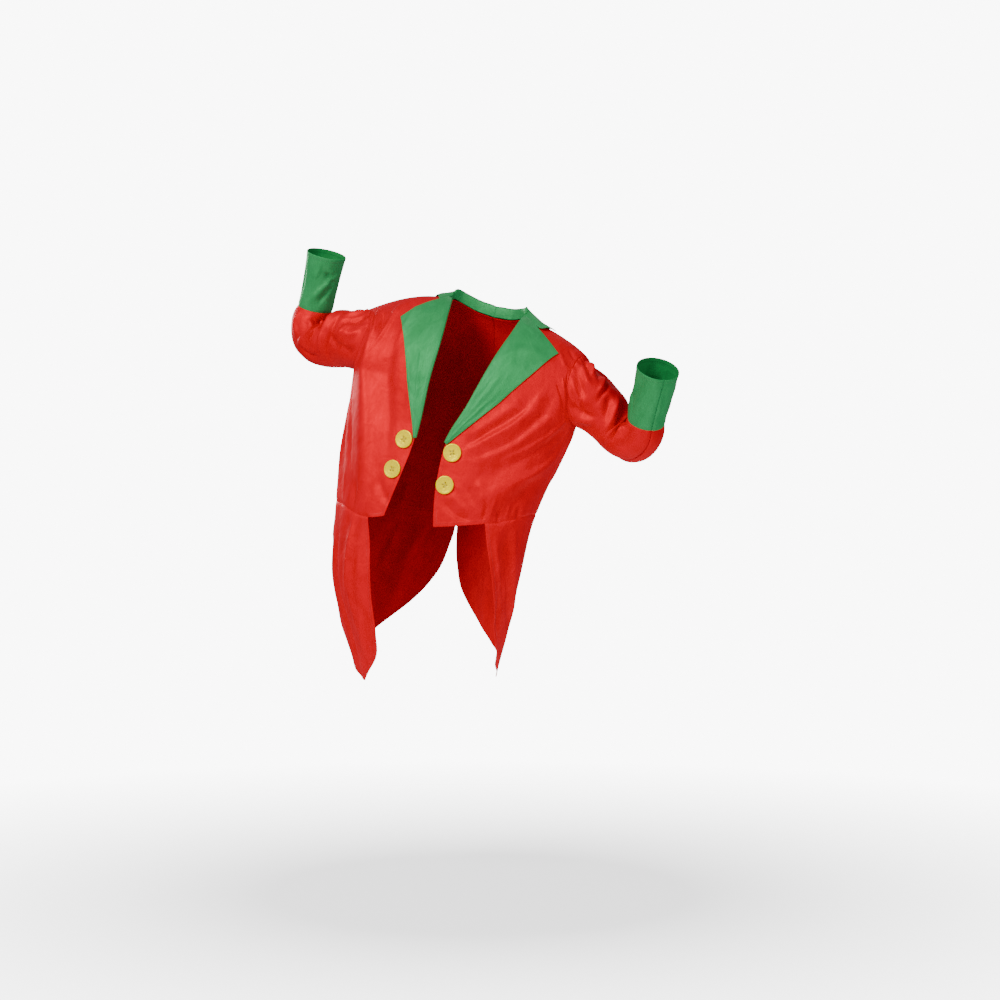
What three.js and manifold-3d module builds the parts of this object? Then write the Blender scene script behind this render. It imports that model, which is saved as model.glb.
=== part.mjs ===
// A clown's tailcoat in satin, hollow and open in front, in the pose of a dancing wearer.
// Millimetres, +Z up, the wearer faces -Y and turns a little to -X. The origin is the middle
// of the neck opening, at the height of the shoulder seams. Side +1 is the wearer's left.

import * as THREE from 'three';
import * as BufferGeometryUtils from 'three/addons/utils/BufferGeometryUtils.js';
import Module from 'manifold-3d';

const wasm = await Module();
wasm.setup();

// Driving dimensions
const CLOTH = 2.0; // wall of every cloth piece
const SEAM = 0.3; // gap between two pieces that are sewn edge to edge
const TURN = THREE.MathUtils.degToRad(20); // how far the chest turns to the wearer's right
const ROUNDNESS = 2.3; // exponent of the body's oval sections
const ARMPIT_Z = -196; // armpit line, in the chest's leaning frame
const CHEST_LEAN = THREE.MathUtils.degToRad(15); // the shoulders' lean to the wearer's left
const SHOULDER_EASE = 44; // how far the shoulder's roundness runs on past the armhole
const CUFF_LENGTH = 140;
const NECK_SEAM = 4 * SEAM; // gap between the back's top edge and the neck seam's line
const BUTTON = {
  diameter: 43,
  thickness: 5,
  edge: 1.5, // rounding of the disc's edge
  rim: 4,
  dish: 1.2, // how deep the middle lies below the rim
  hole: 3.4,
  pitch: 6.7, // distance between neighbouring holes
};
const LEFT = 1;
const RIGHT = -1;

const COLOURS = { red: 0xc80508, green: 0x2f7f3f, yellow: 0xe9c91e };

// Sections of the body, from the armpits (level 1) through the waist (2) to the tails' ends.
// Each row is an oval: its centre x, y, z, its half width, its depth in front of and behind
// the side seams, and its lean to the wearer's left, in degrees.
const SECTIONS = [
  { level: 1.0, x: -37, y: 0, z: -189, left: 284, right: 290, front: 150, back: 140, lean: 15 },
  { level: 1.5, x: -66, y: 0, z: -330, left: 255, right: 280, front: 158, back: 140, lean: 9 },
  { level: 2.0, x: -108, y: 0, z: -480, left: 245, right: 248, front: 158, back: 150, lean: 0 },
  { level: 2.5, x: -131, y: 8, z: -626, left: 230, right: 230, front: 158, back: 162, lean: 0 },
  { level: 3.0, x: -128, y: 16, z: -773, left: 186, right: 192, front: 148, back: 160, lean: 0 },
  { level: 3.3, x: -124, y: 20, z: -876, left: 156, right: 168, front: 138, back: 154, lean: 0 },
];

// Height of the shoulder seams over the origin, by the distance from the centre line
const RIDGE = [
  { x: 0, left: 24, right: 24 },
  { x: 100, left: 20, right: 25 },
  { x: 150, left: 12, right: 20 },
  { x: 200, left: -2, right: 5 },
  { x: 250, left: -22, right: -18 },
  { x: 320, left: -62, right: -58 },
];

// Distance of the armhole from the centre line, from the armpit (0) to the shoulder (1)
const ARMHOLE = [
  { rise: 0.0, left: 284, right: 290 },
  { rise: 0.12, left: 276, right: 274 },
  { rise: 0.35, left: 266, right: 262 },
  { rise: 0.65, left: 266, right: 276 },
  { rise: 1.0, left: 270, right: 316 },
];

// Distance of the front's edge from the centre line: roll line, button stand, cutaway
const FRONT_EDGE = [
  { level: 0.0, left: 100, right: 98 },
  { level: 0.4, left: 112, right: 63 },
  { level: 0.7, left: 101, right: 44 },
  { level: 1.05, left: 76, right: 39 },
  { level: 1.42, left: 39, right: 40 },
  { level: 1.7, left: 41, right: 51 },
  { level: 2.06, left: 62, right: 73 },
];

// Level of the waist seam and of the fronts' hem, by the share of the way round
const WAIST = [
  { share: 0.0, left: 2.07, right: 1.94 },
  { share: 0.25, left: 2.06, right: 1.99 },
  { share: 0.6, left: 2.03, right: 1.9 },
  { share: 1.0, left: 1.97, right: 1.88 },
  { share: 2.0, left: 1.95, right: 1.95 },
];

// Lapels from the break (0) to the top edge (1): level of the roll line, and the distance
// from the centre line and the level of the outer edge
const LAPEL = {
  left: [
    { along: 0.0, roll: 1.42, x: 42, level: 1.435 },
    { along: 0.25, roll: 1.07, x: 100, level: 1.19 },
    { along: 0.5, roll: 0.72, x: 153, level: 0.945 },
    { along: 0.75, roll: 0.4, x: 195, level: 0.7 },
    { along: 1.0, roll: 0.07, x: 226, level: 0.416 },
  ],
  right: [
    { along: 0.0, roll: 1.42, x: 43, level: 1.43 },
    { along: 0.25, roll: 1.09, x: 72, level: 1.16 },
    { along: 0.5, roll: 0.74, x: 104, level: 0.92 },
    { along: 0.75, roll: 0.4, x: 140, level: 0.7 },
    { along: 1.0, roll: 0.06, x: 171, level: 0.486 },
  ],
};
const NOTCH = { left: { x: 159, level: 0.256 }, right: { x: 118, level: 0.225 } };

// Lapel's section from its edge on the roll line (0) to the outer edge (1): how far it lies
// over the front, and how far it rolls past the front's own edge
const LAPEL_SECTION = [
  { across: 0, lift: 0.2, past: 3.2 },
  { across: 0.012, lift: 3.4, past: 3.6 },
  { across: 0.05, lift: 5.6, past: 0 },
  { across: 0.14, lift: 5.4, past: 0 },
  { across: 0.34, lift: 4.6, past: 0 },
  { across: 0.56, lift: 3.9, past: 0 },
  { across: 0.78, lift: 3.4, past: 0 },
  { across: 1, lift: 3.0, past: 0 },
];
const NOTCH_POWER = 6; // how near the top edge the notch's dip stays

// Rows of numbers under named columns
const table = (names, rows) =>
  rows.map((row) => Object.fromEntries(names.map((name, i) => [name, row[i]])));

// Collar from the centre back to its front end: distance from the centre line and level of
// the neck seam, of the middle of the fall and of its edge (negative levels are behind the
// shoulder seam), and the height of the stand
const COLLAR_COLUMNS = [
  'along', 'seamX', 'seamLevel', 'midX', 'midLevel', 'edgeX', 'edgeLevel', 'stand',
];
const COLLAR_BACK = table(COLLAR_COLUMNS, [
  [0.0, 0, -0.24, 0, -0.34, 0, -0.46, 30],
  [0.22, 45, -0.215, 52, -0.32, 62, -0.43, 30],
  [0.42, 78, -0.13, 98, -0.21, 118, -0.31, 30],
  [0.62, 92, -0.02, 122, -0.08, 148, -0.16, 28],
]);
const COLLAR_FRONT = {
  left: table(COLLAR_COLUMNS, [
    [0.82, 98, 0.01, 134, 0.06, 166, -0.05, 20],
    [1.0, 101, 0.055, 157, 0.232, 182, 0.02, 7],
  ]),
  right: table(COLLAR_COLUMNS, [
    [0.82, 94, 0.005, 122, 0.05, 150, -0.1, 20],
    [1.0, 94, 0.045, 117, 0.2, 143, -0.04, 7],
  ]),
};

// Collar's section: the fold at the top of the stand, and the fall's height over the shoulder
const COLLAR_FOLD = { base: 3.3, lean: 1.2, drop: 3.2, top: 2.2, width: 5.8 };
const COLLAR_FALL = {
  middle: { back: 9, front: 4.8, share: 0.2 }, // share of the stand's height is added
  outer: 6,
  edge: { back: 4, front: 4.8 },
};

// How far each edge of a tail has moved round from where it leaves the waist seam, as
// shares of the way round
const TAIL = {
  left: [
    { level: 2.03, front: 0.0, back: 0.0 },
    { level: 2.24, front: 0.075, back: -0.01 },
    { level: 2.45, front: 0.165, back: -0.03 },
    { level: 2.68, front: 0.27, back: -0.08 },
    { level: 2.9, front: 0.4, back: -0.22 },
    { level: 3.08, front: 0.52, back: -0.44 },
    { level: 3.26, front: 0.69, back: -0.79 },
  ],
  right: [
    { level: 1.9, front: 0.0, back: 0.0 },
    { level: 2.15, front: -0.04, back: -0.01 },
    { level: 2.45, front: -0.067, back: -0.08 },
    { level: 2.7, front: -0.068, back: -0.28 },
    { level: 2.92, front: -0.058, back: -0.64 },
    { level: 3.1, front: -0.02, back: -1.06 },
    { level: 3.27, front: 0.2, back: -1.49 },
  ],
};
const TAIL_START = { left: 6, right: 2 }; // column of the front at which the tail begins
const TAIL_EASE = 0.9; // power that spreads a tail's rows, closer at the point

// Largest folds of the body: each runs from one place to another, given as shares of the
// way round and levels, stands out by its height (a trough is negative) and is as wide as given
const FOLDS = [
  { side: RIGHT, from: [0.72, 0.4], to: [0.3, 1.9], height: 10, width: 30 },
  { side: RIGHT, from: [0.94, 0.9], to: [0.6, 1.9], height: -7, width: 28 },
  { side: RIGHT, from: [0.42, 0.7], to: [0.27, 1.3], height: -6, width: 26 },
  { side: LEFT, from: [0.3, 1.5], to: [0.84, 0.8], height: 6, width: 28 },
  { side: LEFT, from: [0.34, 1.66], to: [0.92, 1.08], height: -7, width: 26 },
  { side: LEFT, from: [0.36, 1.9], to: [0.95, 1.34], height: 7, width: 28 },
  { side: LEFT, from: [0.6, 2.05], to: [0.82, 1.62], height: -6, width: 26 },
  { side: RIGHT, from: [1.3, 0.8], to: [1.4, 2.0], height: 8, width: 32 },
  { side: RIGHT, from: [1.7, 1.0], to: [1.62, 2.0], height: -6, width: 28 },
  { side: LEFT, from: [1.25, 1.05], to: [1.6, 1.9], height: 8, width: 30 },
  { side: LEFT, from: [1.5, 0.9], to: [1.75, 1.5], height: -6, width: 28 },
  { side: RIGHT, from: [0.4, 2.1], to: [0.36, 3.0], height: 7, width: 22 },
  { side: RIGHT, from: [0.66, 2.05], to: [0.56, 3.2], height: -10, width: 24 },
  { side: RIGHT, from: [0.96, 2.15], to: [0.8, 3.0], height: 7, width: 24 },
  { side: RIGHT, from: [1.25, 2.1], to: [1.1, 3.0], height: -12, width: 26 },
  { side: RIGHT, from: [1.55, 2.1], to: [1.36, 2.9], height: 12, width: 26 },
  { side: RIGHT, from: [1.8, 2.1], to: [1.6, 2.7], height: -10, width: 24 },
  { side: LEFT, from: [0.7, 2.08], to: [0.92, 3.0], height: -9, width: 22 },
  { side: LEFT, from: [0.92, 2.1], to: [1.12, 3.1], height: 6, width: 22 },
  { side: LEFT, from: [1.18, 2.1], to: [1.34, 3.2], height: -12, width: 24 },
  { side: LEFT, from: [1.48, 2.1], to: [1.5, 3.1], height: 12, width: 26 },
  { side: LEFT, from: [1.76, 2.1], to: [1.7, 2.9], height: -10, width: 24 },
];
const FOLD_SCALE = { round: 390, level: 290 }; // millimetres for one unit round and one level

// Each sleeve's middle line runs from the armhole to the elbow's corner and on to the cuff's
// end, with the corner rounded by a bend
const ARMS = {
  left: { elbow: [370, -124, -330], end: [408, -254, -138], bend: 48 },
  right: { elbow: [-432, 205, -50], end: [-379, 130, 169], bend: 48 },
};

// Radius of the sleeve from the armhole (0) to the cuff's seam (1) and the cuff's end (2)
const SLEEVE = [
  { along: 0.0, left: 74, right: 76 },
  { along: 0.3, left: 63, right: 75 },
  { along: 0.5, left: 57, right: 69 },
  { along: 0.7, left: 54, right: 62 },
  { along: 0.88, left: 50, right: 53 },
  { along: 1.0, left: 45, right: 44 },
  { along: 1.5, left: 45, right: 44 },
  { along: 2.0, left: 49, right: 48 },
];
const INNER_ELBOW = 0.84; // how near the crook comes to the bend's own centre
const CROOK_RUN = 40; // how far along the sleeve the elbow's form fades out
const OUTER_ELBOW = 0.08; // how far the elbow fills out
const SLEEVE_BLEND = { left: 0.5, right: 0.75 }; // share of the upper arm that turns round
const SLEEVE_ROUNDING = 0.8; // power of that change from the armhole's form
const ARMHOLE_GAP = { walls: 1.7, leastSine: 0.35 }; // allowance where two walls meet at an angle

// A smooth curve through the rows of a table, for one of its columns
function column(rows, key, name, t) {
  const last = rows.length - 1;
  const at = Math.min(Math.max(t, rows[0][key]), rows[last][key]);
  let i = 0;
  while (i < last - 1 && at > rows[i + 1][key]) i += 1;
  const slope = (j) => {
    const a = rows[Math.max(j - 1, 0)];
    const b = rows[Math.min(j + 1, last)];
    return (b[name] - a[name]) / (b[key] - a[key]);
  };
  const width = rows[i + 1][key] - rows[i][key];
  const f = (at - rows[i][key]) / width;
  const f2 = f * f;
  const f3 = f2 * f;
  return (
    (2 * f3 - 3 * f2 + 1) * rows[i][name] +
    (f3 - 2 * f2 + f) * width * slope(i) +
    (3 * f2 - 2 * f3) * rows[i + 1][name] +
    (f3 - f2) * width * slope(i + 1)
  );
}

const smooth = (a, b, t) => THREE.MathUtils.smoothstep(t, a, b);
const mix = (a, b, t) => a + (b - a) * t;

// Across, back and up directions of a section that leans
function axes(lean) {
  const c = Math.cos(lean);
  const s = Math.sin(lean);
  return {
    across: new THREE.Vector3(Math.cos(TURN) * c, -Math.sin(TURN), -Math.cos(TURN) * s),
    back: new THREE.Vector3(Math.sin(TURN) * c, Math.cos(TURN), -Math.sin(TURN) * s),
    up: new THREE.Vector3(s, 0, c),
  };
}

const spread = (share) => Math.abs(Math.sin((Math.PI / 2) * share)) ** (2 / ROUNDNESS);
const sideName = (side) => (side === LEFT ? 'left' : 'right');

// Distance of the side, or of the armhole's edge, from the centre line
function halfAt(level, side) {
  if (level < 1) return column(ARMHOLE, 'rise', sideName(side), 1 - Math.abs(level));
  return column(SECTIONS, 'level', sideName(side), level);
}

// Share of the way round, in front, that lies at a distance from the centre line
function shareAt(x, level, side) {
  return (2 / Math.PI) * Math.asin(Math.min(x / halfAt(level, side), 1) ** (ROUNDNESS / 2));
}

// A point of the body at a distance x from the centre line. In front of the shoulder seam
// sign is -1, behind it +1, and a negative level changes the two over.
function bodyAt(x, level, sign, side) {
  const low = Math.max(Math.abs(level), 1);
  const facing = level < 0 ? -sign : sign;
  const ridge = column(RIDGE, 'x', sideName(side), Math.abs(x));
  const rise = Math.max(1 - Math.abs(level), 0);
  const get = (name) => column(SECTIONS, 'level', name, low);
  const { across, back, up } = axes(THREE.MathUtils.degToRad(get('lean')));
  const half = get(sideName(side)) + SHOULDER_EASE * rise;
  const depth = facing < 0 ? get('front') : get('back');
  const y = facing * depth * Math.max(1 - Math.min(Math.abs(x) / half, 1) ** ROUNDNESS, 0) ** (1 / ROUNDNESS);
  const point = new THREE.Vector3(get('x'), get('y'), get('z'));
  point.addScaledVector(across, side * x);
  point.addScaledVector(back, y * Math.cos((Math.PI / 2) * rise));
  return point.addScaledVector(up, (ridge - ARMPIT_Z) * Math.sin((Math.PI / 2) * rise));
}

// A point of the body by its share of the way round, 0 at the centre front, 2 at the back
function bodyRound(round, level, side, isBack) {
  const share = isBack ? 2 - round : round;
  const crosses = share > 1;
  const x = halfAt(level, side) * spread(crosses ? 2 - share : share);
  return bodyAt(x, level, isBack !== crosses ? 1 : -1, side);
}

// How far the folds lift the cloth at a place
function foldHeight(round, level, side) {
  let lift = 0;
  for (const fold of FOLDS) {
    if (fold.side !== side) continue;
    const a = [fold.from[0] * FOLD_SCALE.round, fold.from[1] * FOLD_SCALE.level];
    const b = [fold.to[0] * FOLD_SCALE.round, fold.to[1] * FOLD_SCALE.level];
    const p = [round * FOLD_SCALE.round, level * FOLD_SCALE.level];
    const run = Math.hypot(b[0] - a[0], b[1] - a[1]);
    const dir = [(b[0] - a[0]) / run, (b[1] - a[1]) / run];
    const along = ((p[0] - a[0]) * dir[0] + (p[1] - a[1]) * dir[1]) / run;
    const off = (p[0] - a[0]) * dir[1] - (p[1] - a[1]) * dir[0];
    const ends = smooth(-0.15, 0.25, along) * (1 - smooth(0.8, 1.2, along));
    lift += fold.height * ends * Math.exp(-((off / fold.width) ** 2));
  }
  return lift;
}

// Point and outward normal of the worn cloth at a place of the body
function cloth(round, level, side, isBack) {
  const stepRound = 0.02;
  const stepLevel = 0.06;
  const open = level < 1;
  const lowRound = isBack && open ? Math.max(round - stepRound, 1) : round - stepRound;
  const highRound = !isBack && open ? Math.min(round + stepRound, 1) : round + stepRound;
  const p = bodyRound(round, level, side, isBack);
  const dRound = bodyRound(highRound, level, side, isBack).sub(bodyRound(lowRound, level, side, isBack));
  const before = bodyRound(round, level - stepLevel, side, isBack);
  const dLevel = bodyRound(round, level + stepLevel, side, isBack).sub(before);
  const normal = dLevel.cross(dRound).multiplyScalar(side).normalize();
  return { point: p.addScaledVector(normal, foldHeight(round, level, side)), normal };
}

// The same for a place given by its distance from the centre line, in front of or behind
// the shoulder seam (negative level)
function clothAt(x, level, side) {
  const sign = -1;
  const p = bodyAt(x, level, sign, side);
  const dx = bodyAt(x + 4, level, sign, side).sub(bodyAt(x - 4, level, sign, side));
  const dLevel = bodyAt(x, level + 0.03, sign, side).sub(bodyAt(x, level - 0.03, sign, side));
  const normal = dLevel.cross(dx).multiplyScalar(side).normalize();
  const share = shareAt(Math.abs(x), Math.abs(level), side);
  const round = level < 0 ? 2 - share : share;
  return { point: p.addScaledVector(normal, foldHeight(round, Math.abs(level), side)), normal };
}

// A closed solid from a grid of { point, normal }: a wall of the cloth's thickness.
// A ring's last column meets its first.
function wall(grid, { ring = false, thickness = CLOTH } = {}) {
  const rows = grid.length;
  const cols = grid[0].length;
  const positions = [];
  for (const offset of [thickness / 2, -thickness / 2]) {
    for (const row of grid) {
      for (const { point, normal } of row) {
        positions.push(...point.clone().addScaledVector(normal, offset).toArray());
      }
    }
  }
  const outer = (i, j) => i * cols + (j % cols);
  const inner = (i, j) => rows * cols + outer(i, j);
  const index = [];
  const quad = (a, b, c, d) => index.push(a, b, c, a, c, d);
  const lastCol = ring ? cols : cols - 1;
  for (let i = 0; i < rows - 1; i += 1) {
    for (let j = 0; j < lastCol; j += 1) {
      quad(outer(i, j), outer(i, j + 1), outer(i + 1, j + 1), outer(i + 1, j));
      quad(inner(i, j), inner(i + 1, j), inner(i + 1, j + 1), inner(i, j + 1));
    }
    if (!ring) {
      quad(outer(i, 0), outer(i + 1, 0), inner(i + 1, 0), inner(i, 0));
      quad(outer(i, lastCol), inner(i, lastCol), inner(i + 1, lastCol), outer(i + 1, lastCol));
    }
  }
  for (let j = 0; j < lastCol; j += 1) {
    quad(outer(0, j), inner(0, j), inner(0, j + 1), outer(0, j + 1));
    quad(outer(rows - 1, j), outer(rows - 1, j + 1), inner(rows - 1, j + 1), inner(rows - 1, j));
  }
  const geometry = new THREE.BufferGeometry();
  geometry.setAttribute('position', new THREE.Float32BufferAttribute(positions, 3));
  geometry.setIndex(signedVolume(positions, index) < 0 ? index.reverse() : index);
  geometry.computeVertexNormals();
  return geometry;
}

function signedVolume(positions, index) {
  const corner = (k) => new THREE.Vector3().fromArray(positions, 3 * index[k]);
  let sum = 0;
  for (let k = 0; k < index.length; k += 3) sum += corner(k).dot(corner(k + 1).cross(corner(k + 2)));
  return sum / 6;
}

const coat = new THREE.Group();

function addPiece(name, geometry, colour, roughness) {
  const material = new THREE.MeshStandardMaterial({ color: colour, roughness, metalness: 0 });
  const mesh = new THREE.Mesh(geometry, material);
  mesh.name = name;
  coat.add(mesh);
  return mesh;
}

const steps = (count) => Array.from({ length: count + 1 }, (_, i) => i / count);

// Levels from a panel's top (0) by the armpit (1) to the waist seam (2)
function levelAt(t, top, round, side) {
  if (t < 1) return mix(top, 1, t);
  return mix(1, column(WAIST, 'share', sideName(side), round) - trimLevel, t - 1);
}

const trimRound = SEAM / 2 / FOLD_SCALE.round;
const trimLevel = SEAM / 2 / FOLD_SCALE.level;
const DOWN = [...steps(9), ...steps(10).slice(1).map((t) => 1 + t)];
const FRONT_COLUMNS = steps(15);
const BACK_COLUMNS = steps(10);

// Share of the way round of one of the front's columns, at a place down the panel
function frontRound(t, c, side) {
  const base = levelAt(t, trimLevel, 0.3, side);
  const edge = shareAt(column(FRONT_EDGE, 'level', sideName(side), base), base, side);
  return mix(edge, 1 - trimRound, c);
}


function frontPanel(side) {
  const grid = DOWN.map((t) =>
    FRONT_COLUMNS.map((c) => {
      const round = frontRound(t, c, side);
      return cloth(round, levelAt(t, trimLevel, round, side), side, false);
    }),
  );
  return wall(grid);
}

// The neck seam's level behind the shoulder seam, at a distance from the centre line
function neckLevel(x) {
  const rows = COLLAR_BACK.map(({ seamX, seamLevel }) => ({ x: seamX, level: -seamLevel }));
  return x < COLLAR_BACK[3].seamX ? Math.max(column(rows, 'x', 'level', x), 0) : 0;
}

function backPanel(side) {
  const columns = BACK_COLUMNS.map((c) => {
    const round = mix(1 + trimRound, 2 - trimRound, c);
    const top = neckLevel(halfAt(0, side) * spread(2 - round)) + NECK_SEAM / 2 / FOLD_SCALE.level;
    return DOWN.map((t) => cloth(round, levelAt(t, top, round, side), side, true));
  });
  return wall(columns);
}

// A tail's columns run on from those of the front and the back at the waist seam
function tail(side) {
  const rows = TAIL[sideName(side)];
  const tip = rows[rows.length - 1].level;
  const first = TAIL_START[sideName(side)];
  const rounds = [
    ...FRONT_COLUMNS.slice(first).map((c) => frontRound(2, c, side)),
    ...BACK_COLUMNS.slice(1).map((c) => mix(1 + trimRound, 2 - trimRound, c)),
  ];
  const last = rounds[rounds.length - 1];
  const grid = steps(14).map((t) =>
    rounds.map((start) => {
      const down = t ** TAIL_EASE;
      const base = mix(rows[0].level, tip, down);
      const across = (start - rounds[0]) / (last - rounds[0]);
      const front = rounds[0] + column(rows, 'level', 'front', base);
      const round = mix(front, last + column(rows, 'level', 'back', base), across);
      const top = column(WAIST, 'share', sideName(side), start) + trimLevel;
      return cloth(round, mix(top, tip, down), side, round > 1);
    }),
  );
  return wall(grid);
}

// The lapel lies on the front's own points, moved out. It rolls over the front's edge.
function lapel(side) {
  const rows = LAPEL[sideName(side)];
  const notch = NOTCH[sideName(side)];
  const tip = rows[rows.length - 1];
  const topX = column(FRONT_EDGE, 'level', sideName(side), tip.roll);
  const notchShare = (notch.x - topX) / (tip.x - topX);
  const notchDip = notch.level - mix(tip.roll, tip.level, notchShare);
  const grid = steps(13).map((t) => {
    const roll = column(rows, 'along', 'roll', t);
    const innerX = column(FRONT_EDGE, 'level', sideName(side), roll);
    const outerX = column(rows, 'along', 'x', t);
    const outerLevel = column(rows, 'along', 'level', t);
    return LAPEL_SECTION.map(({ across, lift, past }) => {
      const near = across < notchShare ? across / notchShare : (1 - across) / (1 - notchShare);
      const level = mix(roll, outerLevel, across) + notchDip * near * t ** NOTCH_POWER;
      const { point, normal } = clothAt(mix(innerX, outerX, across) - past, level, side);
      return { point: point.addScaledVector(normal, lift), normal };
    });
  });
  for (const row of grid) turnNormals(row, side);
  return wall(grid);
}

// Normals of a strip that curls: square to the strip's own section, in its own plane
function turnNormals(row, side) {
  const before = row.map(({ normal }) => normal.clone());
  row.forEach((place, k) => {
    const a = row[Math.max(k - 1, 0)].point;
    const b = row[Math.min(k + 1, row.length - 1)].point;
    const run = b.clone().sub(a);
    const first = row[0].point;
    const last = row[row.length - 1].point;
    const axis = last.clone().sub(first).cross(before[before.length - 1]).normalize();
    place.normal = axis.cross(run).normalize();
    if (place.normal.dot(before[before.length - 1]) < 0 && k > 2) place.normal.negate();
  });
}

// One half of the collar: the stand rises from the neck seam, folds, and falls on the shoulder
function collarHalf(side) {
  const places = [...COLLAR_BACK, ...COLLAR_FRONT[sideName(side)]];
  const { up } = axes(CHEST_LEAN);
  const rows = steps(16).map((s) => {
    const get = (name) => column(places, 'along', name, s);
    const place = (name) => clothAt(Math.max(get(`${name}X`), SEAM / 2), get(`${name}Level`), side);
    const seam = place('seam');
    const middle = place('mid');
    const edge = place('edge');
    const half = (name) => (get(`mid${name}`) + get(`edge${name}`)) / 2;
    const outer = clothAt(Math.max(half('X'), SEAM / 2), half('Level'), side);
    const out = seam.normal.clone().addScaledVector(up, -seam.normal.dot(up)).normalize();
    const stand = get('stand');
    const at = (base, lift, away) => base.clone().addScaledVector(up, lift).addScaledVector(out, away);
    const { base, lean, drop, top, width } = COLLAR_FOLD;
    const fall = COLLAR_FALL;
    const arch = mix(fall.middle.back, fall.middle.front, s) + fall.middle.share * stand;
    const section = [
      at(seam.point, base, 0),
      at(seam.point, stand / 2 + 1, -lean),
      at(seam.point, Math.max(stand - drop, base), -lean),
      at(seam.point, stand, top),
      at(seam.point, Math.max(stand - drop, base + 1), width),
      middle.point.clone().addScaledVector(middle.normal, arch),
      outer.point.clone().addScaledVector(outer.normal, fall.outer),
      edge.point.clone().addScaledVector(edge.normal, mix(fall.edge.back, fall.edge.front, s)),
    ];
    const plane = edge.point.clone().sub(seam.point).cross(up).normalize();
    return section.map((point, k) => {
      const a = section[Math.max(k - 1, 0)];
      const b = section[Math.min(k + 1, section.length - 1)];
      return { point, normal: b.clone().sub(a).cross(plane).normalize() };
    });
  });
  return wall(rows);
}

// Armhole from the armpit up the front, over the shoulder and down the back
function armholePoint(turn, side) {
  const isBack = turn > 0.5;
  const level = isBack ? (turn - 0.5) * 2 : 1 - turn * 2;
  return cloth(1, Math.min(Math.max(level, 0), 0.9999), side, isBack);
}

// How far a sleeve starts from the armhole's edge so the two walls, that meet at an angle,
// stay clear of each other
function armholeGap(turn, side, path, along) {
  const { point, normal } = armholePoint(turn, side);
  const edge = armholePoint((turn + 0.02) % 1, side).point.sub(armholePoint((turn + 0.98) % 1, side).point);
  const outward = edge.cross(normal).normalize();
  if (outward.dot(path.start.clone().sub(point)) < 0) outward.negate();
  const straight = outward.dot(along);
  const sine = Math.max(Math.sqrt(Math.max(1 - straight ** 2, 0)), ARMHOLE_GAP.leastSine);
  return 2 * SEAM + (ARMHOLE_GAP.walls * (CLOTH / 2) * (1 - straight)) / sine;
}

const ARMHOLE_PLACES = steps(24).slice(0, -1);

// Middle line of a sleeve: straight, round the elbow, straight
function sleevePath(side) {
  const arm = ARMS[sideName(side)];
  const start = new THREE.Vector3();
  for (const turn of ARMHOLE_PLACES) start.add(armholePoint(turn, side).point);
  start.divideScalar(ARMHOLE_PLACES.length);
  const elbow = new THREE.Vector3(...arm.elbow);
  const end = new THREE.Vector3(...arm.end);
  const first = elbow.clone().sub(start).normalize();
  const second = end.clone().sub(elbow).normalize();
  const angle = first.angleTo(second);
  const cut = arm.bend * Math.tan(angle / 2);
  const lengthOne = elbow.distanceTo(start) - cut;
  const lengthTwo = end.distanceTo(elbow) - cut;
  const arc = arm.bend * angle;
  const axis = first.clone().cross(second).normalize();
  const { up } = axes(CHEST_LEAN);
  const top = up.clone().addScaledVector(first, -up.dot(first)).normalize();
  const fore = top.clone().cross(first).multiplyScalar(side).normalize().negate();
  const inward = axis.clone().cross(first).normalize();
  const centre = start.clone().addScaledVector(first, lengthOne).addScaledVector(inward, arm.bend);
  return {
    total: lengthOne + arc + lengthTwo,
    lengthOne,
    start,
    bend: arm.bend,
    at(s) {
      const bent = THREE.MathUtils.clamp((s - lengthOne) / arc, 0, 1) * angle;
      const turned = (v) => v.clone().applyAxisAngle(axis, bent);
      const point = start.clone().addScaledVector(first, Math.min(s, lengthOne));
      if (bent > 0) {
        point.copy(centre).addScaledVector(turned(inward), -arm.bend);
        point.addScaledVector(turned(first), Math.max(s - lengthOne - arc, 0));
      }
      const before = smooth(-CROOK_RUN, 0, s - lengthOne);
      const crook = before * (1 - smooth(0, CROOK_RUN, s - lengthOne - arc));
      return {
        point,
        distance: s,
        crook,
        along: turned(first),
        top: turned(top),
        fore: turned(fore),
        inward: turned(inward),
      };
    },
  };
}

// A point of a sleeve at a distance down its middle line and a turn round it
function sleevePoint(path, side, s, turn) {
  const place = turn - Math.floor(turn);
  const hole = armholePoint(place, side).point;
  const { along } = path.at(0);
  const ahead = hole.clone().sub(path.start).dot(along);
  const frame = path.at(s + ahead * Math.max(1 - s / path.lengthOne, 0));
  const seam = path.total - CUFF_LENGTH;
  const share = s < seam ? s / seam : 1 + (s - seam) / CUFF_LENGTH;
  const radius = column(SLEEVE, 'along', sideName(side), share);
  const a = turn * 2 * Math.PI;
  const dir = frame.top.clone().multiplyScalar(-Math.cos(a)).addScaledVector(frame.fore, Math.sin(a));
  const facing = dir.dot(frame.inward);
  const inner = Math.min(radius, INNER_ELBOW * path.bend);
  const outer = radius * (1 + OUTER_ELBOW);
  const reach = mix(radius, facing > 0 ? inner : outer, frame.crook * facing ** 2);
  const point = frame.point.clone().addScaledVector(dir, reach);
  const round = smooth(0, path.lengthOne * SLEEVE_BLEND[sideName(side)], s) ** SLEEVE_ROUNDING;
  if (round === 1) return point;
  const gone = Math.max(frame.distance - ahead, 0);
  const flat = hole.addScaledVector(along, armholeGap(place, side, path, along) + gone);
  return flat.lerp(point, round);
}

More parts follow.
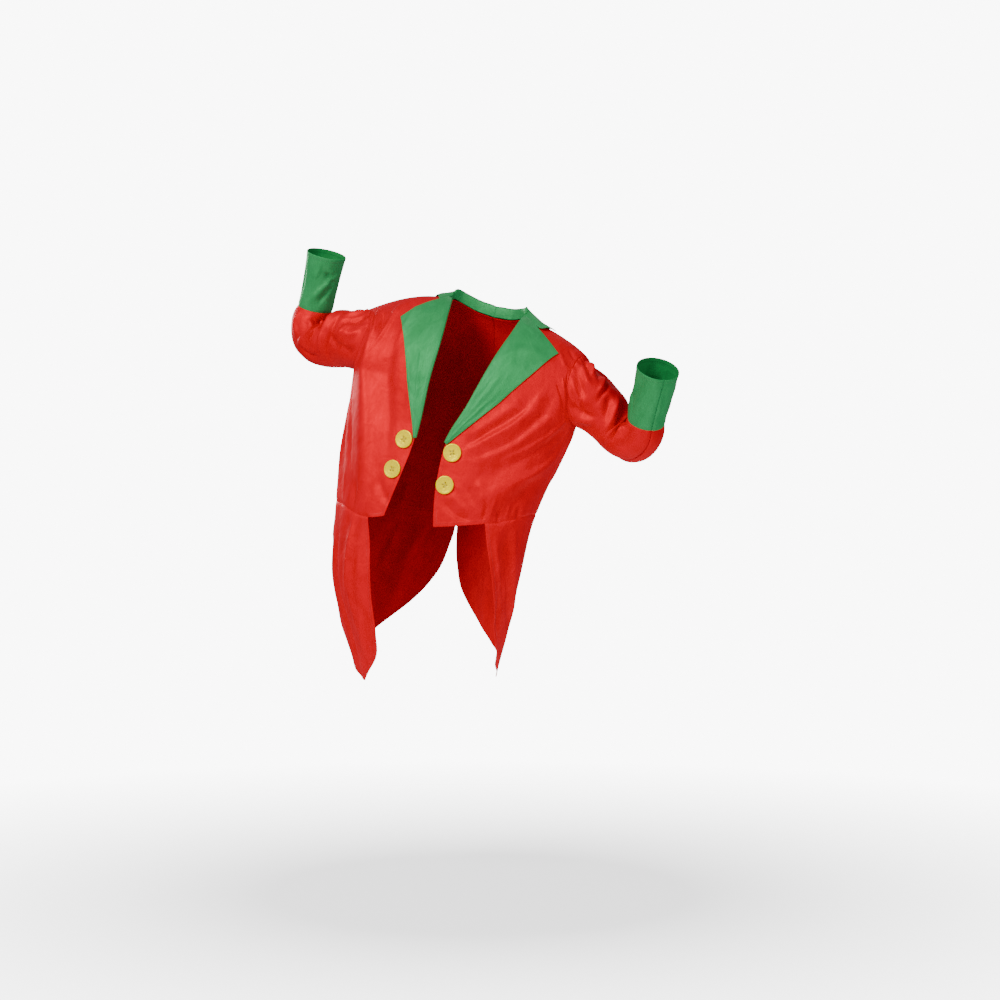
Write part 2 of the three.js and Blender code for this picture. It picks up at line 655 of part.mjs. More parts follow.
// One ring of a sleeve, with its outward normals
function sleeveRing(path, side, s, count) {
  return steps(count).slice(0, -1).map((turn) => {
    const point = sleevePoint(path, side, s, turn);
    const round = sleevePoint(path, side, s, turn + 0.01).sub(sleevePoint(path, side, s, turn - 0.01));
    const down = sleevePoint(path, side, s + 1, turn).sub(point);
    const normal = down.cross(round).multiplyScalar(side).normalize();
    return { point, normal };
  });
}

function sleeve(side) {
  const path = sleevePath(side);
  const last = path.total - CUFF_LENGTH - SEAM / 2;
  return wall(steps(15).map((t) => sleeveRing(path, side, last * t, 18)), { ring: true });
}

function cuff(side) {
  const path = sleevePath(side);
  const first = path.total - CUFF_LENGTH + SEAM / 2;
  return wall(steps(4).map((t) => sleeveRing(path, side, mix(first, path.total, t), 18)), { ring: true });
}

// A sew-through button: a dished disc with a rim and four holes, its back on the XY plane
function buttonGeometry() {
  const { diameter, thickness, edge, rim, dish, hole, pitch } = BUTTON;
  const r = diameter / 2;
  const profile = [
    [0, 0],
    [r - edge, 0],
    [r, edge],
    [r, thickness - edge],
    [r - edge, thickness],
    [r - rim + edge / 2, thickness],
    [r - rim - edge / 2, thickness - dish],
    [0, thickness - dish],
  ].map(([x, y]) => new THREE.Vector2(x, y));
  const disc = new THREE.LatheGeometry(profile, 22).rotateX(Math.PI / 2);
  let solid = toManifold(disc);
  for (const [sx, sy] of [[1, 1], [1, -1], [-1, 1], [-1, -1]]) {
    const drill = new THREE.CylinderGeometry(hole / 2, hole / 2, 3 * thickness, 6).rotateX(Math.PI / 2);
    drill.translate((sx * pitch) / 2, (sy * pitch) / 2, 0);
    solid = solid.subtract(toManifold(drill));
  }
  return fromManifold(solid);
}

function toManifold(geometry) {
  const bare = geometry.clone();
  bare.deleteAttribute('normal');
  bare.deleteAttribute('uv');
  const merged = BufferGeometryUtils.mergeVertices(bare, 1e-4);
  const mesh = new wasm.Mesh({
    numProp: 3,
    vertProperties: new Float32Array(merged.attributes.position.array),
    triVerts: new Uint32Array(merged.index.array),
  });
  return new wasm.Manifold(mesh);
}

function fromManifold(solid) {
  const { vertProperties, triVerts } = solid.getMesh();
  const geometry = new THREE.BufferGeometry();
  geometry.setAttribute('position', new THREE.Float32BufferAttribute(vertProperties, 3));
  geometry.setIndex(Array.from(triVerts));
  geometry.computeVertexNormals();
  return geometry;
}

// Buttons lie on the fronts, beside the edge
const BUTTONS = [
  { name: 'button_left_upper', side: LEFT, x: 60, level: 1.49 },
  { name: 'button_left_lower', side: LEFT, x: 64, level: 1.74 },
  { name: 'button_right_upper', side: RIGHT, x: 66, level: 1.445 },
  { name: 'button_right_lower', side: RIGHT, x: 76, level: 1.66 },
];

for (const [side, name] of [[LEFT, 'left'], [RIGHT, 'right']]) {
  addPiece(`front_${name}`, frontPanel(side), COLOURS.red, 0.42);
  addPiece(`back_${name}`, backPanel(side), COLOURS.red, 0.42);
  addPiece(`tail_${name}`, tail(side), COLOURS.red, 0.42);
  addPiece(`sleeve_${name}`, sleeve(side), COLOURS.red, 0.42);
  addPiece(`cuff_${name}`, cuff(side), COLOURS.green, 0.45);
  addPiece(`lapel_${name}`, lapel(side), COLOURS.green, 0.45);
  addPiece(`collar_${name}`, collarHalf(side), COLOURS.green, 0.45);
}

for (const { name, side, x, level } of BUTTONS) {
  const { point, normal } = clothAt(x, level, side);
  const mesh = addPiece(name, buttonGeometry(), COLOURS.yellow, 0.3);
  mesh.position.copy(point).addScaledVector(normal, CLOTH / 2 + SEAM);
  mesh.quaternion.setFromUnitVectors(new THREE.Vector3(0, 0, 1), normal);
}

export default coat;
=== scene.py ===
"""Looks of the clown's tailcoat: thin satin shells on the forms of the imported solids."""

import math

import bmesh
import bpy
import numpy as np
from mathutils import Matrix, Vector


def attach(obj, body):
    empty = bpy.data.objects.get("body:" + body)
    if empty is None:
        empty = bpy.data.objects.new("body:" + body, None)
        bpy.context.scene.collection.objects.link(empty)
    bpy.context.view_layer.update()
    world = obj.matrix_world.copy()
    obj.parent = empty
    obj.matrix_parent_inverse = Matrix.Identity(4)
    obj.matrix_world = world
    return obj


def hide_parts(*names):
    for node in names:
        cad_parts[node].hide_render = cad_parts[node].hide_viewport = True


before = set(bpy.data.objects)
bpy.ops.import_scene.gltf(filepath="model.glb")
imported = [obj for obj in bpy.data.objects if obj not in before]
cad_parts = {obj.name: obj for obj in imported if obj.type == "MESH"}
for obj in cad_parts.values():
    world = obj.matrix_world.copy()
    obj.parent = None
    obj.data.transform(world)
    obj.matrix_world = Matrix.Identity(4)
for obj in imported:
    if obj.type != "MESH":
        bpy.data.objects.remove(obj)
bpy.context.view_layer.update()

# Driving sizes of the coat's form, in millimetres and degrees
LEFT, RIGHT = 1, -1
SIDES = {"left": LEFT, "right": RIGHT}
NAME = {LEFT: "left", RIGHT: "right"}
TURN = math.radians(20)
CHEST_LEAN = 15
ROUNDNESS = 2.3
ARMPIT_Z = -196
SHOULDER_EASE = 44
CUFF_LENGTH = 140
ROUND_MM = 390  # cloth's length for one unit of the way round
LEVEL_MM = 290  # and for one level
FRONT_SHARE = 0.3  # share of the way round where the levels of a front's edge are taken
ARMHOLE_END = 0.9999  # lowest level of the armhole, just above the armpit


def table(names, *rows):
    """Rows of numbers under named columns."""
    return dict(zip(names.split(), np.array(rows, float).T))


# Ovals of the body: centre, half widths, depth before and behind the side seams, and lean
SECTIONS = table(
    "level x y z left right front back lean",
    (1.0, -37, 0, -189, 284, 290, 150, 140, 15),
    (1.5, -66, 0, -330, 255, 280, 158, 140, 9),
    (2.0, -108, 0, -480, 245, 248, 158, 150, 0),
    (2.5, -131, 8, -626, 230, 230, 158, 162, 0),
    (3.0, -128, 16, -773, 186, 192, 148, 160, 0),
    (3.3, -124, 20, -876, 156, 168, 138, 154, 0),
)

# Height of the shoulder seams, by the distance from the centre line
RIDGE = table(
    "x left right",
    (0, 24, 24),
    (100, 20, 25),
    (150, 12, 20),
    (200, -2, 5),
    (250, -22, -18),
    (320, -62, -58),
)

# Distance of the armhole from the centre line, from the armpit to the shoulder
ARMHOLE = table(
    "rise left right",
    (0.0, 284, 290),
    (0.12, 276, 274),
    (0.35, 266, 262),
    (0.65, 266, 276),
    (1.0, 270, 316),
)

# Distance of the front's edge from the centre line
FRONT_EDGE = table(
    "level left right",
    (0.0, 100, 98),
    (0.4, 112, 63),
    (0.7, 101, 44),
    (1.05, 76, 39),
    (1.42, 39, 40),
    (1.7, 41, 51),
    (2.06, 62, 73),
)

# Level of the waist seam and of the fronts' hem, by the share of the way round
WAIST = table(
    "share left right",
    (0.0, 2.07, 1.94),
    (0.25, 2.06, 1.99),
    (0.6, 2.03, 1.9),
    (1.0, 1.97, 1.88),
    (2.0, 1.95, 1.95),
)

# Lapels from the break to the top edge: level of the roll line, place of the outer edge
LAPEL = {
    LEFT: table(
        "along roll x level",
        (0.0, 1.42, 42, 1.435),
        (0.25, 1.07, 100, 1.19),
        (0.5, 0.72, 153, 0.945),
        (0.75, 0.4, 195, 0.7),
        (1.0, 0.07, 226, 0.416),
    ),
    RIGHT: table(
        "along roll x level",
        (0.0, 1.42, 43, 1.43),
        (0.25, 1.09, 72, 1.16),
        (0.5, 0.74, 104, 0.92),
        (0.75, 0.4, 140, 0.7),
        (1.0, 0.06, 171, 0.53),
    ),
}
NOTCH = {LEFT: (159, 0.256), RIGHT: (107, 0.25)}
NOTCH_POWER = 6

# Lapel's section from the roll line to the outer edge: lift off the front, reach past its edge
LAPEL_SECTION = table(
    "across lift past",
    (0, 0.2, 3.2),
    (0.012, 3.4, 3.6),
    (0.05, 5.6, 0),
    (0.14, 5.4, 0),
    (0.34, 4.6, 0),
    (0.56, 3.9, 0),
    (0.78, 3.4, 0),
    (1, 3.0, 0),
)

# Collar from the centre back to its front end; negative levels are behind the shoulder seam
COLLAR_COLUMNS = "along seam_x seam_level mid_x mid_level edge_x edge_level stand"
COLLAR_BACK = (
    (0.0, 0, -0.24, 0, -0.34, 0, -0.46, 30),
    (0.22, 45, -0.215, 52, -0.32, 62, -0.43, 30),
    (0.42, 78, -0.13, 98, -0.21, 118, -0.31, 30),
    (0.62, 92, -0.02, 122, -0.08, 148, -0.16, 28),
)
COLLAR = {
    LEFT: table(
        COLLAR_COLUMNS,
        *COLLAR_BACK,
        (0.82, 98, 0.01, 134, 0.06, 166, -0.05, 20),
        (1.0, 101, 0.055, 157, 0.232, 182, 0.02, 7),
    ),
    RIGHT: table(
        COLLAR_COLUMNS,
        *COLLAR_BACK,
        (0.82, 94, 0.005, 122, 0.05, 150, -0.1, 20),
        (1.0, 94, 0.045, 106, 0.225, 143, -0.03, 7),
    ),
}

# How far each edge of a tail has moved round from where it leaves the waist seam
TAIL = {
    LEFT: table(
        "level front back",
        (2.03, 0.0, 0.0),
        (2.24, 0.075, -0.01),
        (2.45, 0.165, -0.03),
        (2.68, 0.27, -0.08),
        (2.9, 0.4, -0.22),
        (3.08, 0.52, -0.44),
        (3.26, 0.69, -0.79),
    ),
    RIGHT: table(
        "level front back",
        (1.9, 0.0, 0.0),
        (2.15, -0.04, -0.01),
        (2.45, -0.067, -0.08),
        (2.7, -0.068, -0.28),
        (2.92, -0.058, -0.64),
        (3.1, -0.02, -1.06),
        (3.27, 0.2, -1.49),
    ),
}
TAIL_START = {LEFT: 6 / 15, RIGHT: 2 / 15}  # where a tail begins, across the front
TAIL_EASE = 0.9

# Sleeves: elbow's corner and cuff's end, the bend's radius, and the radius along the sleeve
ARMS = {
    LEFT: {"elbow": (370, -124, -330), "end": (408, -254, -138), "bend": 48},
    RIGHT: {"elbow": (-432, 205, -50), "end": (-379, 130, 169), "bend": 48},
}
SLEEVE = table(
    "along left right",
    (0.0, 74, 76),
    (0.3, 63, 75),
    (0.5, 57, 69),
    (0.7, 54, 62),
    (0.88, 50, 53),
    (1.0, 45, 44),
    (1.5, 45, 44),
    (2.0, 49, 48),
)
INNER_ELBOW = 0.84
OUTER_ELBOW = 0.02
ELBOW_POINT = 0.15  # how far the bent elbow pushes the cloth out, against the radius
CROOK_RUN = 40
SLEEVE_BLEND = {LEFT: 0.5, RIGHT: 0.75}
SLEEVE_ROUNDING = 0.8


def column(rows, key, name, t):
    """A smooth curve through the rows of a table, for one of its columns."""
    keys, values = rows[key], rows[name]
    last = len(keys) - 1
    at = np.clip(t, keys[0], keys[-1])
    i = np.clip(np.searchsorted(keys, at, side="left") - 1, 0, last - 1)

    def slope(j):
        a, b = np.maximum(j - 1, 0), np.minimum(j + 1, last)
        return (values[b] - values[a]) / (keys[b] - keys[a])

    width = keys[i + 1] - keys[i]
    f = (at - keys[i]) / width
    f2, f3 = f * f, f * f * f
    return (
        (2 * f3 - 3 * f2 + 1) * values[i]
        + (f3 - 2 * f2 + f) * width * slope(i)
        + (3 * f2 - 2 * f3) * values[i + 1]
        + (f3 - f2) * width * slope(i + 1)
    )


def smooth(low, high, t):
    """Zero up to low and one from high on, with a soft step between."""
    f = np.clip((np.asarray(t, float) - low) / (high - low), 0, 1)
    return f * f * (3 - 2 * f)


def mix(a, b, t):
    """From a at 0 to b at 1."""
    return a + (b - a) * t


def dot(a, b):
    return np.sum(a * b, axis=-1)


def unit(v):
    """Directions with a length of one."""
    return v / np.maximum(np.linalg.norm(v, axis=-1, keepdims=True), 1e-9)


def axes(lean):
    """Across, back and up directions of a section that leans, in degrees."""
    lean = np.radians(np.asarray(lean, float))
    c, s = np.cos(lean), np.sin(lean)
    ct, st = math.cos(TURN), math.sin(TURN)
    across = np.stack([ct * c, -st + 0 * c, -ct * s], -1)
    back = np.stack([st * c, ct + 0 * c, -st * s], -1)
    up = np.stack([s, 0 * c, c], -1)
    return across, back, up


CHEST_UP = axes(CHEST_LEAN)[2]


def spread(share):
    """Distance from the centre line, against the half width, by the share of the way round."""
    return np.abs(np.sin(math.pi / 2 * share)) ** (2 / ROUNDNESS)


def half_at(level, side):
    """Distance of the side, or of the armhole's edge, from the centre line."""
    low = column(SECTIONS, "level", NAME[side], level)
    return np.where(level < 1, column(ARMHOLE, "rise", NAME[side], 1 - np.abs(level)), low)


def share_at(x, level, side):
    """Share of the way round, in front, at a distance from the centre line."""
    part = np.minimum(x / half_at(level, side), 1)
    return 2 / math.pi * np.arcsin(part ** (ROUNDNESS / 2))


def body_at(x, level, sign, side):
    """A point of the body at a distance x from the centre line, sign -1 in front, +1 behind."""
    low = np.maximum(np.abs(level), 1)
    facing = np.where(level < 0, -sign, sign)
    ridge = column(RIDGE, "x", NAME[side], np.abs(x))
    rise = np.maximum(1 - np.abs(level), 0)

    def get(name):
        return column(SECTIONS, "level", name, low)

    across, back, up = axes(get("lean"))
    half = get(NAME[side]) + SHOULDER_EASE * rise
    depth = np.where(facing < 0, get("front"), get("back"))
    oval = np.maximum(1 - np.minimum(np.abs(x) / half, 1) ** ROUNDNESS, 0) ** (1 / ROUNDNESS)
    y = facing * depth * oval * np.cos(math.pi / 2 * rise)
    z = (ridge - ARMPIT_Z) * np.sin(math.pi / 2 * rise)
    centre = np.stack([get("x"), get("y"), get("z")], -1)
    return centre + across * (side * x)[..., None] + back * y[..., None] + up * z[..., None]


def body_round(place, level, side, is_back):
    """A point of the body by its share of the way round, 0 at the centre front, 2 behind."""
    share = 2 - place if is_back else place
    crosses = share > 1
    x = half_at(level, side) * spread(np.where(crosses, 2 - share, share))
    return body_at(x, level, np.where(crosses != is_back, 1, -1), side)


def base_cloth(place, level, side, is_back):
    """Point and outward normal of the smooth body under the worn cloth."""
    place, level = np.broadcast_arrays(np.asarray(place, float), np.asarray(level, float))
    step_round, step_level = 0.02, 0.06
    is_open = level < 1
    low = np.where(is_open & is_back, np.maximum(place - step_round, 1), place - step_round)
    high = np.where(is_open & (not is_back), np.minimum(place + step_round, 1), place + step_round)
    point = body_round(place, level, side, is_back)
    d_round = body_round(high, level, side, is_back) - body_round(low, level, side, is_back)
    below = body_round(place, level + step_level, side, is_back)
    above = body_round(place, level - step_level, side, is_back)
    return point, unit(np.cross(below - above, d_round) * side)


def cloth(place, level, side, is_back, relief):
    """Point of the worn cloth and the outward normal under it."""
    point, normal = base_cloth(place, level, side, is_back)
    return point + normal * relief(place, level, side)[..., None], normal


def cloth_at(x, level, side, relief):
    """The same by distance from the centre line; a negative level is behind the shoulder."""
    x, level = np.broadcast_arrays(np.asarray(x, float), np.asarray(level, float))
    point = body_at(x, level, -1, side)
    step_x, step_level = 4, 0.03
    right, left = (body_at(x + d, level, -1, side) for d in (step_x, -step_x))
    below, above = (body_at(x, level + d, -1, side) for d in (step_level, -step_level))
    normal = unit(np.cross(below - above, right - left) * side)
    share = share_at(np.abs(x), np.abs(level), side)
    place = np.where(level < 0, 2 - share, share)
    return point + normal * relief(place, np.abs(level), side)[..., None], normal


def level_at(t, top, place, side):
    """Levels from a panel's top (0) by the armpit (1) to the waist seam (2)."""
    low = mix(1, column(WAIST, "share", NAME[side], place), t - 1)
    return np.where(t < 1, mix(top, 1, t), low)


def front_round(t, c, side):
    """Share of the way round of a place across the front, t down it."""
    base = level_at(t, 0, np.full_like(t, FRONT_SHARE), side)
    edge = share_at(column(FRONT_EDGE, "level", NAME[side], base), base, side)
    return mix(edge, 1, c)


def neck_level(x):
    """Level of the neck seam behind the shoulder seam."""
    seam = COLLAR[LEFT]
    count = len(COLLAR_BACK)
    rows = {"x": seam["seam_x"][:count], "level": -seam["seam_level"][:count]}
    return np.where(x < rows["x"][-1], np.maximum(column(rows, "x", "level", x), 0), 0)


def armhole_point(turn, side, relief):
    """Armhole from the armpit up the front, over the shoulder and down the back."""
    turn = np.asarray(turn, float) % 1
    place = np.ones_like(turn)
    front = cloth(place, np.clip(1 - 2 * turn, 0, ARMHOLE_END), side, False, relief)
    behind = cloth(place, np.clip(2 * turn - 1, 0, ARMHOLE_END), side, True, relief)
    is_back = (turn > 0.5)[..., None]
    return np.where(is_back, behind[0], front[0]), np.where(is_back, behind[1], front[1])


def whole_turn(count):
    """Even shares of a whole turn."""
    return np.arange(count) / count


def turned(v, axis, angle):
    """v turned about an axis, for each of some angles."""
    along = axis * np.dot(axis, v)
    c, s = np.cos(angle)[..., None], np.sin(angle)[..., None]
    return along + (v - along) * c + np.cross(axis, v) * s


class SleevePath:
    """Middle line of a sleeve: straight, round the elbow, straight."""

    def __init__(self, side):
        arm = ARMS[side]
        self.side = side
        self.start = armhole_point(whole_turn(24), side, folds_only)[0].mean(0)
        elbow, end = np.array(arm["elbow"], float), np.array(arm["end"], float)
        self.first = unit(elbow - self.start)
        second = unit(end - elbow)
        self.angle = math.acos(float(np.dot(self.first, second)))
        self.bend = arm["bend"]
        cut = self.bend * math.tan(self.angle / 2)
        self.length_one = float(np.linalg.norm(elbow - self.start)) - cut
        self.arc = self.bend * self.angle
        length_two = float(np.linalg.norm(end - elbow)) - cut
        self.total = self.length_one + self.arc + length_two
        self.axis = unit(np.cross(self.first, second))
        self.top = unit(CHEST_UP - self.first * np.dot(CHEST_UP, self.first))
        self.fore = -unit(np.cross(self.top, self.first) * side)
        self.inward = unit(np.cross(self.axis, self.first))
        self.centre = self.start + self.first * self.length_one + self.inward * self.bend

    def points(self, distances, turns, tuck):
        """Points of the sleeve round its middle line, at distances down it."""
        hole, normal = armhole_point(turns, self.side, relief)
        hole = hole - normal * tuck
        ahead = ((hole - self.start) @ self.first)[None, :]
        s = distances[:, None]
        d = s + ahead * np.maximum(1 - s / self.length_one, 0)
        bent = np.clip((d - self.length_one) / self.arc, 0, 1) * self.angle
        along, top, fore, inward = (
            turned(v, self.axis, bent) for v in (self.first, self.top, self.fore, self.inward)
        )
        past = np.maximum(d - self.length_one - self.arc, 0)[..., None]
        straight = self.start + self.first * np.minimum(d, self.length_one)[..., None]
        centre = np.where((bent > 0)[..., None], self.centre - inward * self.bend, straight)
        centre = centre + along * past
        seam = self.total - CUFF_LENGTH
        share = np.where(s < seam, s / seam, 1 + (s - seam) / CUFF_LENGTH)
        radius = column(SLEEVE, "along", NAME[self.side], share)
        a = (turns * 2 * math.pi)[None, :, None]
        out = -top * np.cos(a) + fore * np.sin(a)
        facing = dot(out, inward)
        inner = np.minimum(radius, INNER_ELBOW * self.bend)
        crook = smooth(-CROOK_RUN, 0, d - self.length_one)
        crook = crook * (1 - smooth(0, CROOK_RUN, d - self.length_one - self.arc))
        point = ELBOW_POINT * np.sin(bent / self.angle * math.pi) ** 3
        bow = np.where(facing > 0, inner, radius * (1 + OUTER_ELBOW + point))
        points = centre + out * mix(radius, bow, crook * facing**2)[..., None]
        blend = smooth(0, self.length_one * SLEEVE_BLEND[self.side], s) ** SLEEVE_ROUNDING
        gone = np.maximum(d - ahead, 0)[..., None]
        return mix(hole[None] + self.first * gone, points, blend[..., None])


# Largest folds, as in the solids: from and to are shares of the way round and levels
FOLDS = table(
    "side from_round from_level to_round to_level height width",
    (RIGHT, 0.72, 0.4, 0.3, 1.9, 10, 30),
    (RIGHT, 0.94, 0.9, 0.6, 1.9, -7, 28),
    (RIGHT, 0.42, 0.7, 0.27, 1.3, -6, 26),
    (LEFT, 0.3, 1.5, 0.84, 0.8, 6, 28),
    (LEFT, 0.34, 1.66, 0.92, 1.08, -7, 26),
    (LEFT, 0.36, 1.9, 0.95, 1.34, 7, 28),
    (LEFT, 0.6, 2.05, 0.82, 1.62, -6, 26),
    (RIGHT, 1.3, 0.8, 1.4, 2.0, 8, 32),
    (RIGHT, 1.7, 1.0, 1.62, 2.0, -6, 28),
    (LEFT, 1.25, 1.05, 1.6, 1.9, 8, 30),
    (LEFT, 1.5, 0.9, 1.75, 1.5, -6, 28),
    (RIGHT, 0.4, 2.1, 0.36, 3.0, 7, 22),
    (RIGHT, 0.66, 2.05, 0.56, 3.2, -10, 24),
    (RIGHT, 0.96, 2.15, 0.8, 3.0, 7, 24),
    (RIGHT, 1.25, 2.1, 1.1, 3.0, -12, 26),
    (RIGHT, 1.55, 2.1, 1.36, 2.9, 12, 26),
    (RIGHT, 1.8, 2.1, 1.6, 2.7, -10, 24),
    (LEFT, 0.7, 2.08, 0.92, 3.0, -9, 22),
    (LEFT, 0.92, 2.1, 1.12, 3.1, 6, 22),
    (LEFT, 1.18, 2.1, 1.34, 3.2, -12, 24),
    (LEFT, 1.48, 2.1, 1.5, 3.1, 12, 26),
    (LEFT, 1.76, 2.1, 1.7, 2.9, -10, 24),
)

